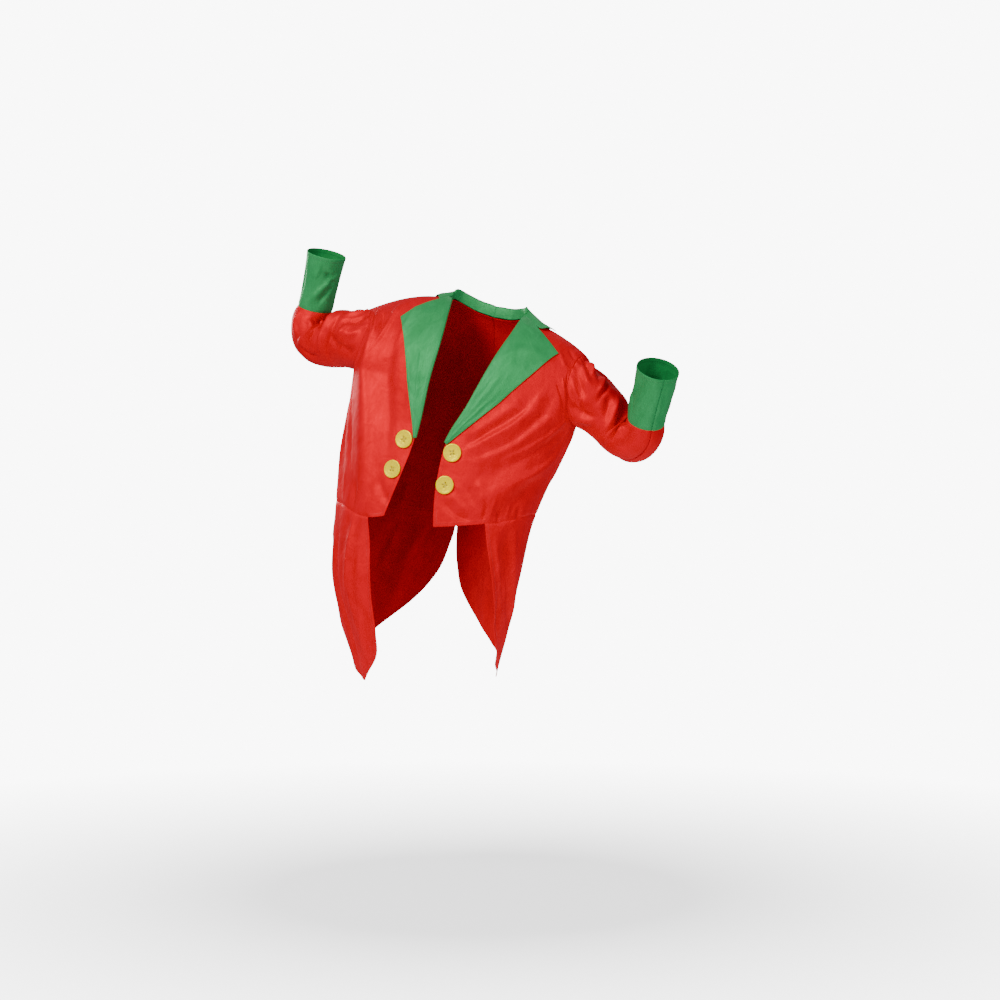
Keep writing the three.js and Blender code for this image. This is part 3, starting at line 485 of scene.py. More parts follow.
# Creases of the body: height in mm (a trough is negative), width in mm, how
# much steeper the second flank is, and the path as shares of the way round and levels
CREASES = [
    # left front: drag lines from the upper button to the armhole
    (LEFT, 3.0, 11, 0.2, (0.15, 1.42), (0.27, 1.22), (0.38, 1.02), (0.45, 0.84)),
    (LEFT, -4.5, 12, 0.3, (0.13, 1.47), (0.30, 1.27), (0.42, 1.09), (0.49, 0.88)),
    (LEFT, 5.0, 13, -0.3, (0.18, 1.46), (0.30, 1.31), (0.43, 1.13), (0.56, 0.89), (0.67, 0.68)),
    (LEFT, -6.0, 14, 0.3, (0.22, 1.53), (0.46, 1.30), (0.61, 1.02), (0.76, 0.73)),
    (LEFT, 5.0, 15, -0.3, (0.35, 1.57), (0.60, 1.35), (0.78, 1.11), (0.90, 0.80)),
    (LEFT, -4.5, 18, 0.2, (0.56, 1.63), (0.78, 1.46), (0.92, 1.27), (0.98, 1.06)),
    # left front: slack below the buttons and pleats at the waist seam
    (LEFT, -3.5, 8, 0.3, (0.13, 1.82), (0.18, 1.90), (0.27, 1.98), (0.40, 2.03)),
    (LEFT, 2.6, 9, -0.2, (0.16, 1.76), (0.24, 1.87), (0.36, 1.97)),
    (LEFT, -2.4, 8, 0.2, (0.23, 1.70), (0.33, 1.84), (0.43, 1.96)),
    (LEFT, 3.2, 10, 0.1, (0.31, 1.66), (0.38, 1.78), (0.42, 1.92)),
    (LEFT, -4.0, 7, 0.2, (0.43, 1.84), (0.45, 1.94), (0.46, 2.05)),
    (LEFT, 3.4, 8, -0.2, (0.50, 1.82), (0.50, 2.06)),
    (LEFT, -4.2, 7, 0.2, (0.55, 1.89), (0.57, 1.97), (0.60, 2.04)),
    (LEFT, 2.6, 8, 0.0, (0.65, 1.86), (0.66, 2.03)),
    (LEFT, -3.0, 8, 0.1, (0.74, 1.90), (0.79, 2.01)),
    # left front: short wrinkles beside the armhole
    (LEFT, -3.0, 7, 0.3, (0.70, 0.66), (0.80, 0.80), (0.86, 0.97)),
    (LEFT, 3.0, 8, -0.2, (0.78, 0.60), (0.87, 0.74), (0.92, 0.92)),
    (LEFT, -2.6, 6, 0.2, (0.86, 0.55), (0.94, 0.70), (0.97, 0.84)),
    (LEFT, 2.0, 7, 0.0, (0.60, 0.35), (0.74, 0.48), (0.88, 0.50)),
    (LEFT, -2.2, 8, 0.2, (0.66, 0.24), (0.80, 0.32), (0.94, 0.33)),
    # right front: hollows under the shoulder and the long fold of the side
    (RIGHT, 4.6, 10, 0.3, (0.45, 0.28), (0.49, 0.50), (0.52, 0.68), (0.56, 0.86)),
    (RIGHT, -4.6, 8, 0.2, (0.64, 0.42), (0.59, 0.58), (0.55, 0.74)),
    (RIGHT, 3.4, 8, 0.1, (0.73, 0.42), (0.66, 0.58), (0.58, 0.78)),
    (RIGHT, -2.6, 7, 0.2, (0.82, 0.36), (0.80, 0.52), (0.74, 0.66)),
    (RIGHT, 2.2, 8, 0.0, (0.30, 0.34), (0.34, 0.56), (0.36, 0.78)),
    (RIGHT, 4.5, 15, 0.35, (0.80, 0.48), (0.57, 0.86), (0.44, 1.20), (0.36, 1.50), (0.31, 1.84)),
    (RIGHT, -6.0, 20, 0.2, (0.40, 0.74), (0.31, 1.06), (0.24, 1.36), (0.20, 1.62)),
    (RIGHT, -3.4, 14, 0.2, (0.80, 0.92), (0.68, 1.20), (0.56, 1.50), (0.48, 1.80)),
    (RIGHT, 2.8, 16, 0.0, (0.14, 0.80), (0.13, 1.10), (0.11, 1.36)),
    (RIGHT, 3.0, 12, 0.2, (0.86, 1.10), (0.80, 1.40), (0.78, 1.80)),
    (RIGHT, -2.6, 8, 0.1, (0.24, 1.70), (0.18, 1.82), (0.11, 1.90)),
    (RIGHT, -2.4, 8, 0.2, (0.40, 1.74), (0.41, 1.93)),
    (RIGHT, 2.0, 8, 0.0, (0.60, 1.66), (0.57, 1.90)),
    # right tail, seen from the front
    (RIGHT, 4.0, 10, 0.3, (0.39, 1.92), (0.39, 2.12), (0.39, 2.42), (0.48, 2.70)),
    (RIGHT, -3.0, 7, 0.2, (0.35, 2.16), (0.34, 2.50), (0.37, 2.84)),
    (RIGHT, 3.4, 9, -0.2, (0.31, 2.10), (0.29, 2.50), (0.33, 2.87), (0.44, 3.12)),
    (RIGHT, -3.0, 10, 0.2, (0.25, 1.96), (0.22, 2.20), (0.21, 2.50), (0.23, 2.84)),
    (RIGHT, -3.0, 9, 0.3, (0.58, 1.98), (0.66, 2.32), (0.76, 2.62)),
    (RIGHT, 2.6, 10, 0.0, (0.80, 1.95), (0.86, 2.24), (0.90, 2.60)),
    (RIGHT, -10.0, 38, 0.0, (0.94, 2.02), (0.92, 2.30), (0.90, 2.60), (0.84, 2.95)),
    # left tail, seen from the front
    (LEFT, 3.4, 9, 0.2, (0.57, 2.08), (0.67, 2.33), (0.85, 2.67), (0.99, 2.98)),
    (LEFT, -4.5, 12, 0.2, (0.69, 2.07), (0.80, 2.34), (0.95, 2.66), (1.10, 2.99)),
    (LEFT, 3.6, 12, -0.2, (0.79, 2.04), (0.88, 2.34), (1.01, 2.66), (1.16, 2.94)),
    (LEFT, -3.0, 9, 0.2, (0.92, 2.02), (0.97, 2.34), (1.07, 2.62)),
    # back, left half: from the shoulder blade to the waist, and slack above the seam
    (LEFT, 3.6, 14, 0.2, (1.12, 0.42), (1.22, 0.74), (1.34, 1.10)),
    (LEFT, -4.2, 12, 0.3, (1.06, 0.60), (1.14, 0.92), (1.26, 1.26), (1.40, 1.52)),
    (LEFT, 4.4, 15, -0.2, (1.05, 0.86), (1.12, 1.20), (1.24, 1.56), (1.36, 1.84)),
    (LEFT, -3.6, 12, 0.2, (1.62, 1.16), (1.56, 1.44), (1.44, 1.72)),
    (LEFT, 3.0, 13, 0.1, (1.86, 0.90), (1.82, 1.26), (1.70, 1.58)),
    (LEFT, -2.8, 8, 0.2, (1.30, 1.76), (1.33, 1.95)),
    (LEFT, 2.6, 8, 0.0, (1.43, 1.72), (1.45, 1.95)),
    (LEFT, -3.2, 9, 0.2, (1.58, 1.78), (1.55, 1.95)),
    (LEFT, 2.2, 10, 0.0, (1.76, 1.70), (1.78, 1.94)),
    # back, right half
    (RIGHT, 3.8, 13, 0.2, (1.10, 0.34), (1.20, 0.62), (1.26, 1.00)),
    (RIGHT, -4.6, 13, 0.3, (1.05, 0.56), (1.13, 0.96), (1.20, 1.34), (1.22, 1.70)),
    (RIGHT, 4.0, 14, -0.2, (1.52, 0.62), (1.50, 1.02), (1.56, 1.46)),
    (RIGHT, -3.6, 12, 0.2, (1.40, 0.92), (1.42, 1.28), (1.48, 1.66)),
    (RIGHT, 2.8, 12, 0.1, (1.84, 1.06), (1.80, 1.44), (1.84, 1.80)),
    (RIGHT, -3.0, 8, 0.2, (1.14, 1.70), (1.18, 1.92)),
    (RIGHT, 2.6, 8, 0.0, (1.30, 1.74), (1.32, 1.94)),
    (RIGHT, -3.2, 9, 0.2, (1.66, 1.72), (1.64, 1.95)),
    # back: long diagonal drags from the sleeves, and the side's slack
    (LEFT, 5.0, 18, 0.2, (1.16, 0.78), (1.28, 0.92), (1.48, 1.04), (1.72, 1.08)),
    (LEFT, -5.5, 16, -0.2, (1.18, 1.04), (1.30, 1.18), (1.50, 1.32), (1.70, 1.36)),
    (LEFT, 4.5, 16, 0.1, (1.24, 1.44), (1.42, 1.58), (1.62, 1.68)),
    (RIGHT, 5.5, 18, 0.2, (1.14, 0.68), (1.28, 0.80), (1.46, 0.90), (1.68, 0.94)),
    (RIGHT, -5.0, 15, -0.2, (1.18, 0.98), (1.34, 1.08), (1.54, 1.20), (1.78, 1.22)),
    (RIGHT, 4.0, 16, 0.1, (1.30, 1.40), (1.52, 1.56), (1.76, 1.62)),
    # tails, seen from behind
    (LEFT, -3.2, 9, 0.2, (1.32, 2.00), (1.36, 2.34), (1.38, 2.70)),
    (LEFT, 3.0, 10, 0.1, (1.62, 1.98), (1.60, 2.30), (1.56, 2.66)),
    (LEFT, -2.8, 8, 0.2, (1.84, 1.98), (1.80, 2.26), (1.74, 2.50)),
    (LEFT, 2.4, 9, 0.0, (1.20, 2.00), (1.24, 2.26), (1.28, 2.60)),
    (RIGHT, -3.0, 9, 0.2, (1.14, 1.96), (1.06, 2.30), (0.98, 2.70)),
    (RIGHT, 3.2, 10, 0.1, (1.38, 1.98), (1.30, 2.34), (1.20, 2.74)),
    (RIGHT, -3.0, 8, 0.2, (1.66, 1.98), (1.56, 2.28), (1.44, 2.56)),
    (RIGHT, 2.6, 9, 0.0, (1.88, 1.98), (1.82, 2.20), (1.70, 2.44)),
]

# Buttons on the fronts: distance from the centre line and level
BUTTONS = [
    ("button_left_upper", LEFT, 60, 1.49),
    ("button_left_lower", LEFT, 64, 1.74),
    ("button_right_upper", RIGHT, 66, 1.445),
    ("button_right_lower", RIGHT, 76, 1.66),
]

FOLD_RISE, FOLD_FALL = (-0.15, 0.25), (0.8, 1.2)  # shares of a fold's length at its two ends
CREASE_RISE, CREASE_FALL = (0, 0.3), (0.62, 1)  # the same for a crease
CREASE_ENDS = 0.7  # width of a crease at its ends, against the middle
CREASE_DEPTH = 1.25  # the body's creases, against the heights listed above
BUTTON_CALM = 30  # how far round a button the cloth lies flat
PATH_STEPS = 5  # straight steps between two places of a crease's path
SEAM_DIP = 1.5  # how deep a seam lies in the cloth
SEAM_WIDTH = 4.5
SEAM_FADE = 40  # how far aside a seam's valley is put, a level below the waist, to fade out
TAIL_FADE = 0.02  # run-out of the waist seam's valley where a tail begins


def between(a, b, c, d, f):
    """A place between b and c on the smooth curve through four places."""
    bends = (2 * a - 5 * b + 4 * c - d) * f**2 + (3 * b - a - 3 * c + d) * f**3
    return 0.5 * (2 * b + (c - a) * f + bends)


def eased(points):
    """Points on a smooth curve through the given ones."""
    p = np.array(points, float)
    ends = np.vstack([2 * p[0] - p[1], p, 2 * p[-1] - p[-2]])
    out = []
    for i in range(len(p) - 1):
        for f in np.arange(PATH_STEPS) / PATH_STEPS:
            out.append(between(*ends[i : i + 4], f))
    return np.vstack([out, p[-1:]])


def crease(u, v, path, height, width, skew):
    """Lift of one crease at the places u, v of the cloth, all in millimetres."""
    line = eased(path)
    lengths = np.linalg.norm(np.diff(line, axis=0), axis=1)
    total = lengths.sum()
    best = np.full(u.shape, np.inf)
    side = np.zeros(u.shape)
    share = np.zeros(u.shape)
    done = 0.0
    for a, b, length in zip(line[:-1], line[1:], lengths):
        d = (b - a) / length
        along = np.clip((u - a[0]) * d[0] + (v - a[1]) * d[1], 0, length)
        off = np.hypot(u - a[0] - along * d[0], v - a[1] - along * d[1])
        nearer = off < best
        best = np.where(nearer, off, best)
        side = np.where(nearer, np.sign((u - a[0]) * d[1] - (v - a[1]) * d[0]), side)
        share = np.where(nearer, (done + along) / total, share)
        done += length
    taper = smooth(*CREASE_RISE, share) * (1 - smooth(*CREASE_FALL, share))
    flank = width * (1 + skew * side) * mix(CREASE_ENDS, 1, taper)
    return height * taper * np.exp(-((best / flank) ** 2))


def folds_only(place, level, side):
    """How far the largest folds lift the cloth."""
    place, level = np.broadcast_arrays(np.asarray(place, float), np.asarray(level, float))
    lift = np.zeros(place.shape)
    for k in np.flatnonzero(FOLDS["side"] == side):
        row = {name: FOLDS[name][k] for name in FOLDS}
        a = np.array([row["from_round"] * ROUND_MM, row["from_level"] * LEVEL_MM])
        b = np.array([row["to_round"] * ROUND_MM, row["to_level"] * LEVEL_MM])
        run = np.linalg.norm(b - a)
        d = (b - a) / run
        u, v = place * ROUND_MM - a[0], level * LEVEL_MM - a[1]
        along = (u * d[0] + v * d[1]) / run
        off = u * d[1] - v * d[0]
        ends = smooth(*FOLD_RISE, along) * (1 - smooth(*FOLD_FALL, along))
        lift += row["height"] * ends * np.exp(-((off / row["width"]) ** 2))
    return lift


def seam_dip(distance):
    """The valley along a seam, by the distance from it in millimetres."""
    return -SEAM_DIP * np.exp(-((distance / SEAM_WIDTH) ** 2))


def relief(place, level, side):
    """How far the folds, creases and seams lift the cloth."""
    place, level = np.broadcast_arrays(np.asarray(place, float), np.asarray(level, float))
    u, v = place * ROUND_MM, level * LEVEL_MM
    creases = np.zeros(place.shape)
    for which, height, width, skew, *path in CREASES:
        if which == side:
            scaled = [(p * ROUND_MM, q * LEVEL_MM) for p, q in path]
            creases = creases + crease(u, v, scaled, height, width, skew)
    for _, which, x, button_level in BUTTONS:
        if which == side:
            du = u - float(share_at(x, button_level, side)) * ROUND_MM
            dv = v - button_level * LEVEL_MM
            creases = creases * (1 - np.exp(-((du**2 + dv**2) / BUTTON_CALM**2) ** 2))
    lift = folds_only(place, level, side) + CREASE_DEPTH * creases
    waist = column(WAIST, "share", NAME[side], place)
    fade = SEAM_FADE * smooth(0, 1, level - waist)
    lift = lift + seam_dip(np.abs(place - 1) * ROUND_MM + fade)
    starts = share_at(column(FRONT_EDGE, "level", NAME[side], waist), waist, side)
    at_tail = smooth(-TAIL_FADE, TAIL_FADE, place - mix(starts, 1, TAIL_START[side]))
    lift = lift + seam_dip((level - waist) * LEVEL_MM) * at_tail
    lift = lift + seam_dip(level * LEVEL_MM)
    return lift + seam_dip((2 - place) * ROUND_MM + fade)


# Cloth of the shells, in millimetres
CLOTH_HALF = 0.5
HEM_HALF = 0.95  # the turned-in edge is twice as thick
COLLAR_HEM_HALF = 0.8  # and that of the lapels and the collar
HEM_WIDTH = 10
HEM_STEP = 1.6  # how far the cloth thins out inside a hem
STITCH_LINE = HEM_WIDTH - 2.2  # distance of the stitching from the edge
GROOVE_DEPTH, GROOVE_WIDTH = 0.28, 0.9  # the groove that the stitching pulls into the cloth
EDGE_THIN = 0.62  # thickness at the very edge, against the hem's
EDGE_ROUND = (-0.2, 1.4)  # distances from the edge over which it rounds off
EDGE_BULGE = 0.8  # how far the rim stands out, against the half thickness
EDGE_STEPS = np.array((0, 1.0, 2.2, 4.5, 7.0, 8.4, 9.2, 10.4, 12.0))
EDGE_ROOM = 1.15  # how far out the even steps begin, against the last of the close ones
FAR = 1e3  # distance given to the places of a piece without a free edge
MM = 0.001


faces_of = {}  # each shell's outer face: points, normals and distance to a free edge


def graded(count, length, start=False, end=False):
    """Steps from 0 to 1, with close ones near a hem at the start or the end."""
    steps = np.linspace(0, 1, count + 1)
    dense = EDGE_STEPS / length
    if start:
        steps = np.concatenate([dense, steps[steps > dense[-1] * EDGE_ROOM]])
    if end:
        steps = np.concatenate([steps[steps < 1 - dense[-1] * EDGE_ROOM], (1 - dense)[::-1]])
    return steps


def surface_normals(points, ring, outward):
    """Normals of a grid of points, on the side of the given rough directions."""
    if ring:
        across = np.roll(points, -1, 1) - np.roll(points, 1, 1)
    else:
        across = np.gradient(points, axis=1)
    normal = unit(np.cross(np.gradient(points, axis=0), across))
    return normal if np.sum(normal * outward) > 0 else -normal


def edge_distance(points, edges, hem_columns=None):
    """Distance along the cloth to the nearest of its free edges."""
    across = np.linalg.norm(np.diff(points, axis=1), axis=2)
    down = np.linalg.norm(np.diff(points, axis=0), axis=2)
    start = np.pad(np.cumsum(across, 1), ((0, 0), (1, 0)))
    top = np.pad(np.cumsum(down, 0), ((1, 0), (0, 0)))
    far = np.full(start.shape, FAR)
    bottom = top[-1:] - top
    if hem_columns is not None:
        bottom = np.where(hem_columns[None, :], bottom, far)
    known = {"start": start, "end": start[:, -1:] - start, "top": top, "bottom": bottom}
    return np.minimum.reduce([far, *[known[e] for e in edges]])


def rim_loops(rows, cols, ring):
    """Border places of a grid as closed loops of (row, column, row inside, column inside)."""
    if ring:
        k = np.arange(cols)
        first, last = 0 * k, 0 * k + rows - 1
        return [(first, k, first + 1, k), (last, k, last - 1, k)]
    r, c = np.arange(rows), np.arange(cols)
    rr = np.concatenate([0 * c[:-1], r[:-1], 0 * c[1:] + rows - 1, r[:0:-1]])
    cc = np.concatenate([c[:-1], 0 * r[:-1] + cols - 1, c[:0:-1], 0 * r[1:]])
    return [(rr, cc, np.clip(rr, 1, rows - 2), np.clip(cc, 1, cols - 2))]


def shell(name, points, outward, uv, edges=(), ring=False, hem_columns=None, hem=HEM_HALF):
    """A closed thin shell on a grid of points in millimetres, with thicker turned-in edges."""
    rows, cols = points.shape[:2]
    normal = surface_normals(points, ring, outward)
    near = edge_distance(points, edges, hem_columns)
    half = mix(hem, CLOTH_HALF, smooth(HEM_WIDTH - HEM_STEP, HEM_WIDTH, near))
    half = half * mix(EDGE_THIN, 1, smooth(*EDGE_ROUND, near))
    groove = GROOVE_DEPTH * np.exp(-(((near - STITCH_LINE) / GROOVE_WIDTH) ** 2))
    outer = points + normal * (half - groove)[..., None]
    inner = points - normal * half[..., None]
    verts = [outer.reshape(-1, 3), inner.reshape(-1, 3)]
    coords = [uv.reshape(-1, 2), uv.reshape(-1, 2)]
    place = np.arange(rows * cols).reshape(rows, cols)
    left, right = (place, np.roll(place, -1, 1)) if ring else (place[:, :-1], place[:, 1:])
    quads = np.stack([left[:-1], right[:-1], right[1:], left[1:]], -1).reshape(-1, 4)
    faces = [quads, quads[:, ::-1] + rows * cols]
    count = 2 * rows * cols
    for rr, cc, ri, ci in rim_loops(rows, cols, ring):
        push = unit(points[rr, cc] - points[ri, ci]) * half[rr, cc][:, None] * EDGE_BULGE
        verts.append(points[rr, cc] + push)
        coords.append(uv[rr, cc])
        a = place[rr, cc]
        m = count + np.arange(len(a))
        b, n = np.roll(a, -1), np.roll(m, -1)
        faces.append(np.stack([a, m, n, b], -1))
        faces.append(np.stack([m, a + rows * cols, b + rows * cols, n], -1))
        count += len(a)
    mesh = bpy.data.meshes.new(name)
    mesh.from_pydata((np.concatenate(verts) * MM).tolist(), [], np.concatenate(faces).tolist())
    reverse = np.zeros(len(mesh.polygons), int)
    reverse[len(quads) : 2 * len(quads)] = 1
    mesh.polygons.foreach_set("material_index", reverse)
    layer = mesh.uv_layers.new(name="cloth")
    corner = np.zeros(len(mesh.loops), int)
    mesh.loops.foreach_get("vertex_index", corner)
    layer.data.foreach_set("uv", (np.concatenate(coords) * MM)[corner].ravel())
    made = bmesh.new()
    made.from_mesh(mesh)
    bmesh.ops.recalc_face_normals(made, faces=made.faces)
    made.to_mesh(mesh)
    made.free()
    mesh.polygons.foreach_set("use_smooth", np.ones(len(mesh.polygons), bool))
    piece = bpy.data.objects.new(name, mesh)
    bpy.context.scene.collection.objects.link(piece)
    faces_of[name] = (outer, normal, near)
    return piece


def finish_piece(piece, materials, slot, *nodes):
    """Materials, the CAD nodes it stands for, and its body."""
    for material in materials:
        piece.data.materials.append(material)
    if nodes:
        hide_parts(*nodes)
    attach(piece, "root")
    return piece


def flat_body(place, level, side):
    """Places of the body's cloth laid flat."""
    return np.stack([place * ROUND_MM * side, -level * LEVEL_MM], -1)


FRONT_WIDE, TAIL_WIDE, TAIL_LONG = 400, 430, 380
FRONT_COLUMNS = graded(104, FRONT_WIDE, start=True)


def front_hem(side):
    """Columns of a front that end in a free hem, before the tail begins."""
    return FRONT_COLUMNS < TAIL_START[side]


def front_grid(side):
    """Points, outward directions and flat places of a front."""
    t = np.concatenate([np.linspace(0, 1, 66)[:-1], 1 + graded(74, LEVEL_MM, end=True)])
    T, C = np.meshgrid(t, FRONT_COLUMNS, indexing="ij")
    place = front_round(T, C, side)
    level = level_at(T, 0, place, side)
    points, outward = cloth(place, level, side, False, relief)
    return points, outward, flat_body(place, level, side)


def back_grid(side):
    """The same for one half of the back."""
    t = np.concatenate([np.linspace(0, 1, 60)[:-1], 1 + np.linspace(0, 1, 70)])
    c = np.linspace(0, 1, 96)
    T, C = np.meshgrid(t, c, indexing="ij")
    place = 1 + C
    top = neck_level(half_at(np.zeros_like(T), side) * spread(2 - place))
    level = level_at(T, top, place, side)
    points, outward = cloth(place, level, side, True, relief)
    return points, outward, flat_body(place, level, side)


def tail_grid(side):
    """The same for a tail, which passes from the front to the back."""
    rows = TAIL[side]
    tip = rows["level"][-1]
    begin = float(front_round(np.array(2.0), TAIL_START[side], side))
    t = graded(120, TAIL_LONG, end=True)
    a = graded(116, TAIL_WIDE, start=True, end=True)
    T, A = np.meshgrid(t, a, indexing="ij")
    down = T**TAIL_EASE
    base = mix(rows["level"][0], tip, down)
    start = mix(begin, 2, A)
    front = begin + column(rows, "level", "front", base)
    place = mix(front, 2 + column(rows, "level", "back", base), A)
    level = mix(column(WAIST, "share", NAME[side], start), tip, down)
    seen = cloth(place, level, side, False, relief)
    hidden = cloth(place, level, side, True, relief)
    points, outward = (np.where((place > 1)[..., None], h, s) for h, s in zip(hidden, seen))
    return points, outward, flat_body(place, level, side)


# Creases of the lapels: height, width, skew, and places as shares along and across
LAPEL_CREASES = {
    LEFT: [
        (2.6, 9, 0.3, (0.52, 0.12), (0.66, 0.36), (0.80, 0.66), (0.90, 0.95)),
        (-1.3, 8, 0.2, (0.60, 0.10), (0.73, 0.34), (0.86, 0.62), (0.95, 0.88)),
        (2.4, 8, 0.2, (0.84, 0.06), (0.90, 0.30), (0.94, 0.55)),
        (1.8, 10, 0.0, (0.24, 0.40), (0.42, 0.46), (0.60, 0.52)),
        (1.2, 7, 0.2, (0.10, 0.60), (0.30, 0.70), (0.50, 0.78)),
    ],
    RIGHT: [
        (1.6, 9, 0.2, (0.20, 0.55), (0.45, 0.50), (0.66, 0.62)),
        (1.4, 8, 0.0, (0.55, 0.20), (0.74, 0.28), (0.92, 0.22)),
        (-0.9, 8, 0.2, (0.62, 0.70), (0.78, 0.62), (0.92, 0.66)),
    ],
}
LAPEL_WIDE, LAPEL_LONG = 110, 330
LAPEL_ROLL = 0.05  # share of the lapel's width in its roll
LAPEL_SWELL = 0.9  # how far it swells between the roll and its outer edge


def lapel_grid(side):
    """Points, outward directions and flat places of a lapel."""
    rows, (notch_x, notch_level) = LAPEL[side], NOTCH[side]
    tip = {name: rows[name][-1] for name in rows}
    top_x = float(column(FRONT_EDGE, "level", NAME[side], tip["roll"]))
    notch_share = (notch_x - top_x) / (tip["x"] - top_x)
    notch_dip = notch_level - mix(tip["roll"], tip["level"], notch_share)
    t = graded(96, LAPEL_LONG, end=True)
    roll_steps = np.array((0, 0.003, 0.006, 0.009, 0.012, 0.018, 0.026, 0.036, 0.05, 0.07, 0.1))
    flat_steps = graded(36, LAPEL_WIDE, end=True)
    c = np.concatenate([roll_steps, flat_steps[flat_steps > 0.12]])
    T, C = np.meshgrid(t, c, indexing="ij")
    roll = column(rows, "along", "roll", T)
    inner_x = column(FRONT_EDGE, "level", NAME[side], roll)
    outer_x, outer_level = column(rows, "along", "x", T), column(rows, "along", "level", T)
    near = np.where(C < notch_share, C / notch_share, (1 - C) / (1 - notch_share))
    level = mix(roll, outer_level, C) + notch_dip * near * T**NOTCH_POWER
    x = mix(inner_x, outer_x, C) - np.interp(C, LAPEL_SECTION["across"], LAPEL_SECTION["past"])
    points, outward = cloth_at(x, level, side, relief)
    lift = np.interp(C, LAPEL_SECTION["across"], LAPEL_SECTION["lift"])
    past_roll = np.clip((C - LAPEL_ROLL) / (1 - LAPEL_ROLL), 0, 1)
    lift = lift + LAPEL_SWELL * np.sin(np.pi * past_roll)
    long, wide = T * LAPEL_LONG, C * LAPEL_WIDE
    for height, width, skew, *path in LAPEL_CREASES[side]:
        scaled = [(p * LAPEL_LONG, q * LAPEL_WIDE) for p, q in path]
        lift = lift + crease(long, wide, scaled, height, width, skew)
    return points + outward * lift[..., None], outward, np.stack([wide * side, long], -1)


# Collar's fold above the neck seam, and its lifts off the body from the centre back to the front
COLLAR_FOLD = {"base": 3.3, "lean": 1.2, "drop": 3.2, "top": 2.2, "width": 5.8}
COLLAR_LIFT = {"middle": (9, 4.8), "outer": 6, "edge": (4, 4.8), "stand": 0.2}
COLLAR_LONG, COLLAR_WIDE = 290, 90


def collar_grid(side):
    """Points, outward directions and flat places of one half of the collar."""
    rows = COLLAR[side]
    s = graded(84, COLLAR_LONG, end=True)
    up = CHEST_UP

    def get(name):
        return column(rows, "along", name, s)

    def place(*lines):
        """Point and normal on a line of the collar, or midway between two of them."""
        x, level = (sum(get(f"{n}_{key}") for n in lines) / len(lines) for key in ("x", "level"))
        return cloth_at(np.maximum(x, 0), level, side, relief)

    seam, seam_normal = place("seam")
    middle, middle_normal = place("mid")
    edge, edge_normal = place("edge")
    outer, outer_normal = place("mid", "edge")
    out = unit(seam_normal - up * (seam_normal @ up)[:, None])
    stand = get("stand")[:, None]
    f, lift = COLLAR_FOLD, COLLAR_LIFT
    off_middle = mix(*lift["middle"], s)[:, None] + lift["stand"] * stand
    section = [
        seam + up * f["base"],
        seam + up * (stand / 2 + 1) - out * f["lean"],
        seam + up * np.maximum(stand - f["drop"], f["base"]) - out * f["lean"],
        seam + up * stand + out * f["top"],
        seam + up * np.maximum(stand - f["drop"], f["base"] + 1) + out * f["width"],
        middle + middle_normal * off_middle,
        outer + outer_normal * lift["outer"],
        edge + edge_normal * mix(*lift["edge"], s)[:, None],
    ]
    knots = np.stack(section, 1)
    last = len(section) - 1
    at = graded(52, COLLAR_WIDE, end=True) * last
    i = np.clip(at.astype(int), 0, last - 1)
    g = (at - i)[None, :, None]
    before, after = 2 * knots[:, :1] - knots[:, 1:2], 2 * knots[:, -1:] - knots[:, -2:-1]
    ends = np.concatenate([before, knots, after], 1)
    points = between(*(ends[:, i + k] for k in range(4)), g)
    outward = np.repeat(edge_normal[:, None], len(at), 1)
    S, A = np.meshgrid(s * COLLAR_LONG, at / last * COLLAR_WIDE, indexing="ij")
    return points, outward, np.stack([S * side, -A], -1)


